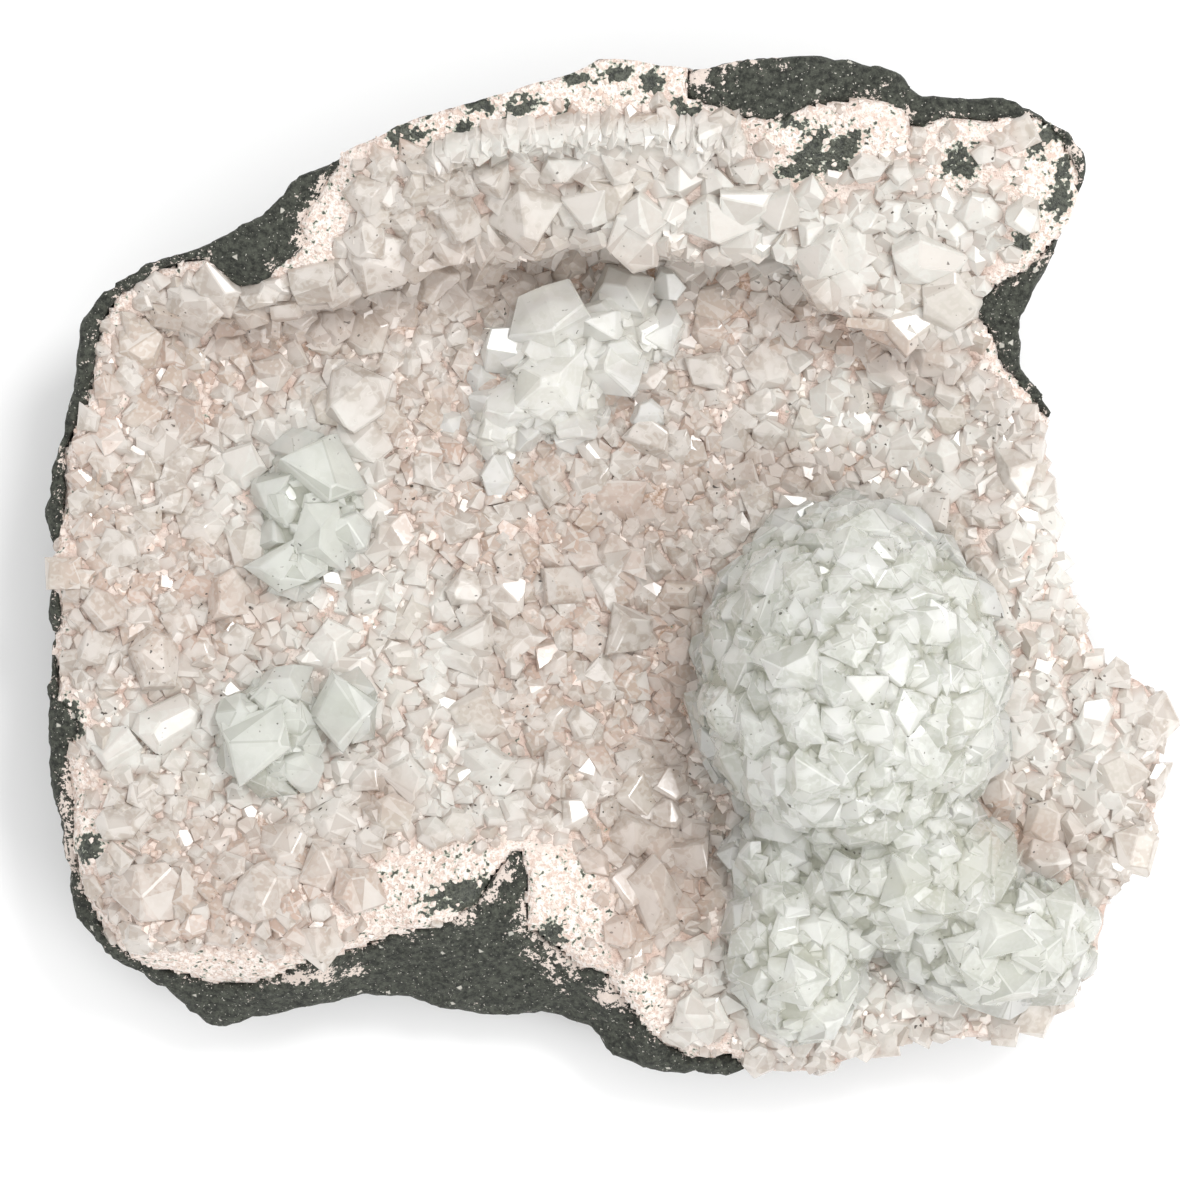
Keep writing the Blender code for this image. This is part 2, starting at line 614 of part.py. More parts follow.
def cluster(name, parts, cutters, ground, lobes, growth, blocks, finish):
    """A cluster of crystals grown together, standing on the crust."""
    first = bmesh.new()
    lobe_shell(first, lobes[0])
    made = from_bmesh(name, first, parts)
    rest = bmesh.new()
    for lobe in lobes[1:]:
        lobe_shell(rest, lobe)
    cluster_crystals(rest, lobes, growth, blocks)
    others = from_bmesh(name + "_crystals", rest, cutters)
    combine(made, others, "UNION", self_crossing=True)
    combine(made, ground, "DIFFERENCE")
    finished(made, finish)


def build():
    """Makes every node of the geode."""
    clear_scene()
    parts = collection(COLLECTION)
    cutters = collection("cutters", hidden=True)

    basalt_finish = material("basalt_broken", (0.06, 0.065, 0.055), 0.85)
    druse_finish = material("druse_pale_pink", (0.70, 0.54, 0.49), 0.45)
    green_finish = material("apophyllite_green", (0.60, 0.66, 0.58), 0.2, 0.3)
    white_finish = material("apophyllite_white", (0.78, 0.79, 0.77), 0.2, 0.3)

    ground = surface_block("ground_surface", cutters)
    ground_above = surface_block("ground_surface_raised", cutters, drop=-GAP)
    rock_wall = (WALL_SETBACK, -WALL_LEAN, True)
    rock_top = surface_block("rock_surface", cutters, CRUST_THICKNESS, *rock_wall)
    rock_top_above = surface_block("rock_surface_raised", cutters, CRUST_THICKNESS - GAP, *rock_wall)
    crust_prism = prism("crust_prism", cutters, grown(CRUST_OUTLINE, 0))
    pocket = prism("crust_pocket", cutters, grown(CRUST_OUTLINE, GAP))
    combine(pocket, rock_top, "DIFFERENCE")

    basalt = rock_body("basalt_matrix", parts)
    combine(basalt, ground, "INTERSECT")
    combine(basalt, pocket, "DIFFERENCE")
    finished(basalt, basalt_finish)

    crust = rock_body("crystal_crust", parts)
    crystals = crust_crystals("crust_crystals", cutters)
    combine(crust, ground, "INTERSECT")
    combine(crust, crystals, "UNION", self_crossing=True)
    combine(crust, crust_prism, "INTERSECT")
    combine(crust, rock_top_above, "DIFFERENCE")
    finished(crust, druse_finish)

    for name, lobes, growth, blocks, finish in (
        ("green_apophyllite_cluster", GREEN_LOBES, GREEN_GROWTH, GREEN_BLOCKS, green_finish),
        ("white_apophyllite_cluster", WHITE_LOBES, WHITE_GROWTH, WHITE_BLOCKS, white_finish),
        ("ridge_apophyllite_cluster", RIDGE_LOBES, RIDGE_GROWTH, RIDGE_BLOCKS, green_finish),
        ("round_apophyllite_cluster", ROUND_LOBES, ROUND_GROWTH, ROUND_BLOCKS, green_finish),
    ):
        cluster(name, parts, cutters, ground_above, lobes, growth, blocks, finish)


build()
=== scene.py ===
"""Apophyllite geode: the looks of a basalt geode half whose hollow is lined with druse and apophyllite.

The crust is a druse of pale pink and white crystals grown over a bed of pink mineral. Geometry Nodes
grow the small crystals over it and over the four clusters, and the large ones stand where a person
sees them. Places and sizes are in millimetres, X to the right and Y up as one looks into the hollow.
"""

import json
import logging
import math
import random
from dataclasses import dataclass, field
from enum import Enum
from itertools import combinations
from typing import Any

import bmesh
import bpy
import numpy as np
from mathutils import Matrix, Vector, noise

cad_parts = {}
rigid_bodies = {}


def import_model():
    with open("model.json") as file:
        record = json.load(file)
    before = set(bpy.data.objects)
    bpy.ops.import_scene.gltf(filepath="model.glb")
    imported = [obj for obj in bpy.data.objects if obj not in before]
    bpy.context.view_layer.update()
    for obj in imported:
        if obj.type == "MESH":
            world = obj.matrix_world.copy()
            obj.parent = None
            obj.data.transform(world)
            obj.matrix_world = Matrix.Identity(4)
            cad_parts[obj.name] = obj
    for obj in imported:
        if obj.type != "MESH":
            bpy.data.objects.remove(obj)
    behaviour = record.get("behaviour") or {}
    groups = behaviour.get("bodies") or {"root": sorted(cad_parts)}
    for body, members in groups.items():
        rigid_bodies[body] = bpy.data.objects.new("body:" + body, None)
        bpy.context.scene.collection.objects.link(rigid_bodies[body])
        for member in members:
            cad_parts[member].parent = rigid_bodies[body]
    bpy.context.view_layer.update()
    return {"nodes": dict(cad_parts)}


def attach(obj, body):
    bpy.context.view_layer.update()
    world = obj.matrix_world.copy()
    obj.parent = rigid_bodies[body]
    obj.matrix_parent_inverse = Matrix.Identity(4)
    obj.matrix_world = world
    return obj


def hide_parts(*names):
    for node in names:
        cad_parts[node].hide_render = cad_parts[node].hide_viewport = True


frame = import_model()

log = logging.getLogger("geode")

MM = 0.001

# The whole stone's outline, seen from above, anticlockwise from the lump at the upper left.
OUTLINE = (
    (-95, 142), (-108, 136), (-118, 124.5), (-130, 118), (-144, 111.5), (-158, 109), (-170, 101),
    (-175, 99), (-184.5, 88), (-183.5, 83), (-186, 68), (-190, 52), (-194, 40), (-196.5, 22),
    (-194, 6), (-195.5, -15), (-194, -22), (-196.5, -40), (-194.5, -60), (-195, -70), (-190, -90),
    (-188, -110), (-185, -120), (-176, -132), (-165, -140), (-152, -146), (-138, -158), (-128, -157),
    (-108, -152), (-86, -147), (-72, -147), (-58, -151.5), (-35, -154.5), (-20, -152.5), (-4, -159),
    (1, -167.5), (12, -171.5), (27, -175), (42, -176.5), (73, -176.5), (84, -172.5), (99, -169),
    (110, -164), (124, -164.5), (142, -163), (149, -160), (160, -154), (169, -143), (173, -138),
    (176, -122), (178, -113), (186, -102), (193, -92), (196, -70), (195.5, -60), (196.5, -50),
    (190, -39), (174, -32), (168, -19), (164, -5), (158.5, 7), (156.5, 28), (152, 48), (156, 55),
    (149, 66), (143.5, 72), (143, 88), (150, 102), (157, 118), (163, 133), (165.5, 140), (159, 150),
    (147, 158), (135, 163), (107, 163), (99, 170.5), (85, 175), (70, 177.5), (48, 175.5),
    (30, 171.5), (8, 174.5), (-3, 174.5), (-15, 169), (-38, 163), (-62, 156.5), (-84, 147.5),
)

# The crust's outline. Where the crust runs out to the side of the stone, it lies outside it.
CRUST_OUTLINE = (
    (-91, 141), (-100, 130), (-105, 121), (-102, 115), (-109, 109), (-120, 100), (-130, 98.5),
    (-138, 108), (-146, 108), (-158, 104.5), (-171, 96), (-177, 84), (-180, 62), (-190, 44),
    (-191, 20), (-192.5, 4), (-191, -12), (-193, -36), (-192, -44), (-186, -48), (-183, -55),
    (-189, -62), (-187, -80), (-186, -96), (-183, -113), (-175, -127), (-164, -137), (-148, -141),
    (-140, -144), (-124, -144), (-104, -134), (-88, -131), (-74, -125), (-60, -122), (-45, -115),
    (-41, -108), (-33, -96), (-29, -96), (-27, -112), (-28, -124), (-16, -132), (0, -141),
    (10, -153), (20, -166), (30, -171), (44, -170), (57, -182), (90, -181), (110, -172), (150, -170),
    (176, -148), (183, -118), (201, -95), (204, -45), (180, -26), (170, 2), (160, 46), (150, 58),
    (138, 71), (133, 83), (126, 93), (136, 101), (145, 106), (152, 113), (159, 125), (161, 138),
    (156, 149), (146, 156), (130, 154), (117, 155), (104, 151), (100, 157), (88, 160), (72, 159),
    (52, 153.5), (40, 156.5), (28, 162.5), (26, 167), (32, 181), (8, 182), (-18, 177), (-40, 171),
    (-64, 165), (-88, 156),
)

# The lip line, along which the upper wall hangs over the hollow.
LIP = (
    (-206, 92), (-160, 91), (-120, 94), (-100, 97), (-78, 108), (-50, 113), (-28, 114), (-10, 119),
    (5, 118), (30, 112), (48, 112), (60, 117), (75, 98), (100, 86), (122, 76), (150, 68), (206, 60),
)

# Heights of the hollow's floor, its sides and the outer slopes below the lip line: x, y and z.
FLOOR_HEIGHTS = (
    (-150, 78, 50), (-100, 82, 47), (-60, 90, 44), (-20, 96, 42), (40, 95, 46), (70, 84, 48),
    (100, 60, 52), (130, 45, 58), (150, 30, 60), (125, 75, 70), (142, 72, 74), (152, 60, 68),
    (-150, 20, 50), (-170, 0, 56), (-187, 0, 62), (-120, 10, 48), (-80, 0, 44), (-40, 30, 40),
    (0, 20, 38), (20, -10, 36), (25, -60, 32), (0, -60, 38), (-40, -50, 42), (-80, -50, 46),
    (-120, -50, 50), (-160, -50, 56), (-186, -50, 61), (-150, -100, 60), (-182, -100, 62),
    (-162, -130, 62), (-125, -132, 62), (-100, -100, 56), (-60, -100, 58), (-70, -118, 62),
    (-33, -96, 60), (-20, -106, 58), (0, -130, 56), (20, -100, 40), (20, -150, 50), (40, -165, 46),
    (60, -170, 44), (150, 0, 56), (150, -40, 52), (165, -70, 48), (187, -60, 50), (182, -90, 46),
    (140, -90, 42), (100, -155, 44), (140, -150, 44), (80, -100, 38), (-184, 60, 62),
    (-185, 88, 62), (-180, 92, 66), (-196, 30, 50), (-196, -30, 50), (-195, -75, 50),
    (-188, -115, 48), (-165, -142, 40), (-132, -159, 22), (-100, -138, 58), (-82, -149, 24),
    (-60, -126, 60), (-36, -156, 20), (-38, -106, 60), (-28, -128, 54), (-6, -162, 22),
    (8, -158, 46), (30, -178, 30), (60, -178, 36), (194, -60, 46), (160, 0, 52), (158, 30, 54),
)

# Heights of the wall and the rim above the lip line.
RIM_HEIGHTS = (
    (-150, 95, 62), (-110, 99, 67), (-70, 113, 72), (-20, 119, 76), (40, 116, 78), (80, 99, 76),
    (110, 86, 72), (125, 80, 71), (125, 75, 70), (142, 72, 74), (152, 60, 68), (-185, 88, 62),
    (-180, 92, 66), (-170, 101, 68), (-150, 109, 74), (-122, 114, 82), (-110, 132, 80),
    (-95, 141, 84), (-95, 120, 80), (-70, 150, 92), (-70, 130, 84), (-30, 160, 98), (-30, 136, 86),
    (0, 172, 100), (10, 140, 90), (50, 174, 98), (50, 160, 104), (50, 138, 90), (90, 170, 98),
    (90, 158, 104), (95, 130, 84), (130, 160, 96), (160, 143, 90), (150, 120, 88), (130, 112, 82),
    (141, 96, 82), (136, 80, 77), (120, 96, 76),
)


class Stain(Enum):
    """What a place of the crust is stained or covered with, painted shade included; the value is its attribute's
    name.
    """

    ROCK = "rock"
    CHALK = "chalk"
    RUST = "rust"
    # Rust brown: partly real rust, partly painted shade under the lip and at the clusters' feet.
    ROSE = "rose"
    JADE = "jade"


# Stains: x, y, half length, half width and the length's turn in degrees.
STAINS = {
    Stain.ROCK: (
        (69, 143, 10, 4.5, 62), (80, 144, 10, 4.5, 48), (121, 141, 6, 5, 0), (155, 128, 6, 4, 80),
        (-68, 148, 6, 3, 20), (-57, 146, 5, 3, 0), (-50, 153, 4, 2.5, 0), (-43, 159, 5, 2.5, 0),
        (-28, 160, 5, 3, 10), (-14, 158, 3, 2, 0), (-10, 168, 5, 2.5, 10), (3, 170, 5, 2.5, 0),
        (15, 167, 4, 4, 0), (27, 158, 5, 3, 0), (62, 154, 5, 2.5, 0), (-188, -52, 5, 8, 0),
        (-180, -95, 5, 5, 0), (150, 150, 9, 4, 35), (157, 138, 5, 3, 80), (-52, -112, 12, 5, 20),
        (-20, -128, 6, 4, 60), (60, 137, 5, 2, 0), (143, 113, 4, 3, 0),
    ),
    Stain.CHALK: (
        (-62, -110, 36, 15, 14), (-14, -120, 17, 26, 0), (150, 132, 14, 28, -12),
        (121, 141, 12, 11, 0), (-20, 163, 85, 10, 10), (-125, -138, 45, 6, -4),
        (-186, -88, 9, 26, 0), (75, 147, 26, 12, 0), (-98, 122, 9, 22, -20), (8, -150, 16, 12, 0),
    ),
    # Rust brown, which also paints the shade under the lip and round the feet of the clusters.
    Stain.RUST: (
        (-95, 88, 40, 8, 8), (-20, 104, 60, 12, 2), (50, 98, 30, 10, -10), (24, -45, 8, 46, 0),
        (16, 22, 22, 10, 30), (146, -94, 24, 9, 10), (120, -104, 26, 7, 6), (30, -100, 10, 18, 20),
        (70, 38, 30, 8, 0), (-75, -78, 12, 8, 0), (10, -108, 26, 24, 0), (-125, -88, 18, 6, 0), (100, 74, 24, 8, -24),
    ),
    Stain.ROSE: (
        (-20, 40, 60, 50, 20), (60, 84, 50, 14, -10), (-140, 70, 34, 22, 0), (-150, -10, 40, 24, 0),
        (-100, -26, 20, 20, 0), (150, -84, 20, 14, 0), (10, -125, 30, 30, 0), (-130, -112, 50, 22, 0),
        (-5, -30, 36, 40, 0), (-20, 162, 80, 12, 10), (-182, 40, 14, 50, 0),
    ),
    Stain.JADE: (
        (-108, 28, 30, 34, 10), (-85, -20, 40, 30, -30), (-118, -58, 32, 30, 0), (-52, -72, 22, 18, 0),
        (-165, -56, 20, 14, 0), (66, 118, 90, 22, 0), (118, 112, 34, 30, 0), (90, -140, 80, 26, 8),
        (96, 52, 40, 22, -20), (164, -62, 24, 30, 0), (152, -8, 14, 40, 0), (-8, 146, 56, 6, 2),
    ),
}

# Crystals that stand out on the crust: x, y, radius and rise, and whether it is pointed.
CRUST_CRYSTALS = (
    (-87, 64, 13, 9, False), (-148, 53, 9, 6, False), (-118, 72, 8, 6, False), (-94, 88, 8, 5, False),
    (-158, -30, 12, 8, False), (-134, -9, 10, 7, False), (-155, -53, 13, 8, False),
    (-172, -60, 8, 5, False), (-85, -6, 9, 6, False), (-176, -12, 8, 5, False), (-172, 10, 8, 6, False),
    (-97, -24, 11, 6, False), (-153, -91, 6, 4, True), (8, -19, 9, 7, False), (-15, -3, 9, 6, False),
    (-33, -32, 6, 5, False), (-46, -24, 8, 6, False), (-50, -6, 8, 6, False), (-52, 17, 9, 6, True),
    (2, 8, 8, 8, True), (17, 3, 6, 5, True), (36, 72, 9, 6, False), (15, 48, 8, 6, False),
    (45, 50, 7, 6, True), (58, 50, 7, 5, False), (-10, -53, 6, 5, False), (-42, -68, 10, 7, False),
    (-18, -67, 6, 5, False), (8, -66, 6, 6, True), (8, -92, 10, 8, True), (-11, -86, 7, 5, False),
    (17, -115, 13, 8, False), (25, -135, 7, 5, True), (30, -156, 9, 6, False), (179, -77, 7, 5, False),
    (170, -55, 7, 5, False), (188, -58, 6, 5, False), (165, -90, 6, 5, False), (143, 36, 9, 7, True),
    (118, 42, 8, 6, True), (103, 62, 7, 5, False), (120, 62, 6, 5, False), (142, 10, 8, 5, False),
    (-88, -110, 11, 6, False), (-120, -112, 12, 6, False), (-160, -112, 13, 6, False),
    (-60, -92, 8, 5, False), (-70, -72, 9, 5, False), (-20, 30, 7, 5, False), (78, 62, 8, 5, False),
)

# Crystals of the wall over the lip and the rim behind it, in the same terms.
WALL_CRYSTALS = (
    (-64, 117, 8, 8, False), (-82, 116, 10, 8, False), (-49, 122, 10, 9, True), (-29, 123, 13, 12, True),
    (-6, 127, 11, 9, True), (14, 123, 10, 9, True), (36, 122, 13, 11, True), (58, 124, 10, 8, True),
    (75, 109, 11, 8, False), (90, 122, 8, 6, False), (90, 139, 7, 5, False), (110, 106, 14, 7, False),
    (-101, 103, 9, 7, False), (-16, 138, 8, 7, True), (4, 138, 7, 6, True), (26, 135, 8, 6, True),
    (-40, 136, 8, 6, False), (-84, 131, 9, 6, False), (143, 122, 7, 5, False), (128, 124, 8, 5, False),
    (100, 138, 6, 5, False), (108, 124, 7, 5, False), (-120, 98, 7, 6, False), (48, 137, 7, 6, True),
)

# The row of upright columns that stands along the rim: x and y of its route.
COLUMN_ROUTE = ((-62, 138), (-50, 145), (-34, 149), (-15, 150.5), (10, 151), (30, 150), (46, 146))

# Each cluster's lobes: x, y, half width, half depth and the height of its top.
GREEN_LOBES = (
    (87, -38, 54, 64, 108), (67, -134, 23, 30, 78), (135, -127, 38, 24, 72), (104, -104, 40, 30, 82),
    (62, -102, 18, 18, 64),
)
WHITE_LOBES = ((-18, 72, 20, 26, 52), (9, 87, 15, 17, 52), (-38, 52, 11, 12, 48))
RIDGE_LOBES = ((-104, 24, 18, 25, 56), (-112, 4, 12, 13, 54))
ROUND_LOBES = ((-119, -57, 18, 20, 63), (-92, -48, 10, 11, 53))

# The large crystals of each cluster: x, y, radius and rise, and whether it is pointed.
GREEN_BLOCKS = (
    (109, -18, 8, 7, True), (84, 11, 9, 7, True), (52, -68, 9, 6, False), (139, -57, 7, 8, True),
    (135, -140, 7, 6, True), (66, -140, 8, 6, False),
)
WHITE_BLOCKS = (
    (-20, 89, 13, 11, False), (-21, 66, 12, 11, True), (-37, 80, 10, 9, False), (6, 100, 11, 9, True),
    (21, 87, 9, 7, True), (3, 72, 12, 10, False), (-13, 47, 8, 6, True), (-35, 58, 10, 8, False),
    (-55, 54, 6, 5, True), (-39, 36, 8, 6, False), (-2, 88, 9, 11, True), (22, 103, 7, 6, False),
    (15, 56, 7, 6, False), (-46, 70, 6, 5, True),
)
RIDGE_BLOCKS = (
    (-98, 35, 12, 9, False), (-102, 15, 11, 8, True), (-119, 30, 10, 7, True), (-91, 16, 9, 6, False),
    (-113, 2, 10, 6, False), (-110, 46, 8, 5, True),
)
ROUND_BLOCKS = (
    (-121, -58, 12, 6, False), (-108, -68, 9, 6, False), (-130, -50, 9, 6, False), (-92, -48, 11, 6, False),
    (-115, -40, 9, 7, True), (-130, -66, 8, 5, True),
)


def linear(colour: str) -> tuple[float, float, float, float]:
    """Turns an sRGB hex colour into the linear colour that a shader takes.

    Args:
        colour: six hex digits after a hash.

    Returns:
        Red, green, blue and alpha.
    """
    shares = [int(colour[place : place + 2], 16) / 255 for place in (1, 3, 5)]
    red, green, blue = (s / 12.92 if s <= 0.04045 else ((s + 0.055) / 1.055) ** 2.4 for s in shares)
    return (red, green, blue, 1.0)


def add_node(
    tree: bpy.types.NodeTree, kind: str, inputs: dict[Any, Any] | None = None, **settings: Any
) -> bpy.types.Node:
    """Adds a node with its settings and links.

    Args:
        tree: the node tree that it goes into.
        kind: the node's type.
        inputs: for an input's name or number, the socket that feeds it or its value.
        settings: the node's own properties.

    Returns:
        The new node.
    """
    node = tree.nodes.new(kind)
    for name, value in settings.items():
        setattr(node, name, value)
    for key, value in (inputs or {}).items():
        if isinstance(value, bpy.types.NodeSocket):
            tree.links.new(value, node.inputs[key])
        else:
            node.inputs[key].default_value = value
    return node


@dataclass
class Brush:
    """The node tree of one material, with the few steps that its patterns share."""

    name: str
    tree: bpy.types.NodeTree = field(init=False)
    material: bpy.types.Material = field(init=False)
    place: bpy.types.NodeSocket = field(init=False)

    def __post_init__(self) -> None:
        """Makes the material and reads the object's own coordinates, in metres."""
        self.material = bpy.data.materials.new(self.name)
        self.material.use_nodes = True
        self.tree = self.material.node_tree
        self.place = add_node(self.tree, "ShaderNodeTexCoord").outputs["Object"]

    @property
    def shader(self) -> bpy.types.Node:
        """The material's Principled shader."""
        return self.tree.nodes["Principled BSDF"]

    def cloud(self, size: float, detail: float = 3.0, rough: float = 0.5) -> bpy.types.NodeSocket:
        """A soft noise from 0 to 1.

        Args:
            size: how far its lumps are apart, in mm.
            detail: how many finer layers it has.
            rough: how strong those are.

        Returns:
            The noise's value.
        """
        made = {"Vector": self.place, "Scale": 1 / (size * MM), "Detail": detail, "Roughness": rough}
        return add_node(self.tree, "ShaderNodeTexNoise", made).outputs["Fac"]

    def cells(self, size: float) -> bpy.types.NodeSocket:
        """The distance to the nearest of scattered points, as a share of their spacing.

        Args:
            size: how far the points are apart, in mm.

        Returns:
            The distance, 0 at a point.
        """
        turned = add_node(self.tree, "ShaderNodeMapping", {"Vector": self.place, "Rotation": (0.6, 0.4, 0.5)})
        made = {"Vector": turned.outputs[0], "Scale": 1 / (size * MM)}
        cells = add_node(self.tree, "ShaderNodeTexVoronoi", made, distance="CHEBYCHEV")
        return cells.outputs["Distance"]

    def stain(self, name: str) -> bpy.types.NodeSocket:
        """A named attribute of the surface, from 0 to 1.

        Args:
            name: the attribute.

        Returns:
            Its value.
        """
        return add_node(self.tree, "ShaderNodeAttribute", attribute_name=name).outputs["Fac"]

    def ramp(self, value: Any, low: float, high: float) -> bpy.types.NodeSocket:
        """A smooth step: 0 at low and 1 at high, or the other way where low is larger.

        Args:
            value: what is stepped.
            low: where the result is 0.
            high: where the result is 1.

        Returns:
            The step's value.
        """
        made = {"Value": value, "From Min": low, "From Max": high}
        node = add_node(self.tree, "ShaderNodeMapRange", made, interpolation_type="SMOOTHSTEP")
        return node.outputs["Result"]

    def sum(self, first: Any, second: Any, operation: str = "ADD") -> bpy.types.NodeSocket:
        """One step of arithmetic.

        Args:
            first: the first value.
            second: the second value.
            operation: which Math operation joins them.

        Returns:
            The result.
        """
        return add_node(self.tree, "ShaderNodeMath", {0: first, 1: second}, operation=operation).outputs[0]

    def mix(self, share: Any, first: Any, second: Any, blend: str = "MIX") -> bpy.types.NodeSocket:
        """Mixes two colours.

        Args:
            share: how much of the second there is.
            first: the first colour, as hex or a socket.
            second: the second colour, as hex or a socket.
            blend: how they mix.

        Returns:
            The mixed colour.
        """
        first, second = (linear(c) if isinstance(c, str) else c for c in (first, second))
        made = {"Factor": share, "A": first, "B": second}
        node = add_node(self.tree, "ShaderNodeMix", data_type="RGBA", blend_type=blend)
        for key, value in made.items():
            socket = next(s for s in node.inputs if s.name == key and s.enabled)
            if isinstance(value, bpy.types.NodeSocket):
                self.tree.links.new(value, socket)
            else:
                socket.default_value = value
        return next(s for s in node.outputs if s.enabled)

    def wear(self, **values: Any) -> None:
        """Sets or links the shader's inputs; an underscore stands for a space in their names.

        Args:
            values: the sockets or the values.
        """
        for key, value in values.items():
            socket = self.shader.inputs[key.replace("_", " ")]
            if isinstance(value, bpy.types.NodeSocket):
                self.tree.links.new(value, socket)
            else:
                socket.default_value = value

    def relief(self, height: bpy.types.NodeSocket, depth: float) -> None:
        """Raises the surface by a pattern.

        Args:
            height: the pattern.
            depth: how deep it is, in mm.
        """
        made = {"Height": height, "Distance": depth * MM, "Strength": 1.0}
        bump = add_node(self.tree, "ShaderNodeBump", made)
        self.wear(Normal=bump.outputs["Normal"])


@dataclass(frozen=True)
class BrokenBasalt:
    """Fine-grained basalt, broken by hand: matt, dark grey-green, with pale filled gas bubbles."""

    dark: str = "#20221d"
    ground: str = "#54574d"
    fleck: str = "#c4c1b7"
    chalk: str = "#e4d6cc"
    grain: float = 2.2
    bubble_spacing: float = 9.0

    def colour(self, brush: Brush) -> bpy.types.NodeSocket:
        """The rock's colour: mottled dark grey with fine pale flecks and a few filled bubbles.

        Args:
            brush: the material that it is for.

        Returns:
            The colour.
        """
        mottle = brush.ramp(brush.cloud(self.grain, 3, 0.75), 0.32, 0.72)
        rock = brush.mix(mottle, self.dark, self.ground)
        bubbles = brush.ramp(brush.cells(self.bubble_spacing), 0.1, 0.07)
        flecks = brush.ramp(brush.cloud(0.9, 1, 0.6), 0.69, 0.74)
        return brush.mix(brush.sum(bubbles, flecks, "MAXIMUM"), rock, self.fleck)

    def material(self) -> bpy.types.Material:
        """Makes the material.

        Returns:
            The material.
        """
        brush = Brush("basalt_broken")
        ragged = brush.sum(brush.cloud(1.5, 2, 0.75), brush.cloud(7, 2, 0.6))
        chalky = brush.ramp(brush.sum(ragged, brush.stain(Stain.CHALK.value)), 1.3, 1.4)
        brush.wear(Base_Color=brush.mix(chalky, self.colour(brush), self.chalk))
        brush.wear(Roughness=0.88, IOR=1.5)
        brush.relief(brush.sum(brush.cloud(1.4, 4, 0.8), brush.cloud(6, 2, 0.5)), 1.2)
        return brush.material


@dataclass(frozen=True)
class DruseBed:
    """The pink mineral between and under the crystals, grown in grains, with chalky stains and a brown that is partly
    rust and partly painted shade.
    """

    rose: str = "#c6ada0"
    pale: str = "#ddd0c7"
    rust: str = "#a58872"
    chalk_pit: str = "#cfb9ac"
    chalk: str = "#eee5de"
    fringe: str = "#a9ad9e"
    dark: str = "#252822"
    ground: str = "#53564b"

    def material(self) -> bpy.types.Material:
        """Makes the material.

        Returns:
            The material.
        """
        brush = Brush("druse_bed_pink")
        grains = brush.cloud(1.8, 2, 0.75)
        wide = brush.cloud(6, 1, 0.6)
        mineral = brush.mix(brush.ramp(wide, 0.3, 0.7), self.rose, self.pale)
        # Brown in the grains where the rust stain lies: rust, and painted shade under the lip and at the clusters'
        # feet.
        bed_rust_and_shade = brush.sum(brush.stain(Stain.RUST.value), brush.ramp(grains, 0.3, 0.7), "MULTIPLY")
        mineral = brush.mix(bed_rust_and_shade, mineral, self.rust)
        chalk = brush.mix(brush.ramp(grains, 0.36, 0.6), self.chalk_pit, self.chalk)
        mineral = brush.mix(brush.stain(Stain.CHALK.value), mineral, chalk)
        ragged = brush.sum(grains, brush.sum(brush.cloud(2.6, 1, 0.8), 1.6, "MULTIPLY"))
        bare = brush.sum(ragged, brush.sum(brush.stain(Stain.ROCK.value), 0.62, "MULTIPLY"))
        bare = brush.sum(bare, brush.sum(brush.stain(Stain.CHALK.value), 0.16, "MULTIPLY"))
        mineral = brush.mix(brush.ramp(bare, 1.62, 1.74), mineral, self.fringe)
        rock = brush.mix(brush.ramp(grains, 0.35, 0.7), self.dark, self.ground)
        brush.wear(Base_Color=brush.mix(brush.ramp(bare, 1.74, 1.8), mineral, rock))
        brush.wear(Roughness=0.45, IOR=1.5)
        brush.relief(grains, 1.4)
        return brush.material


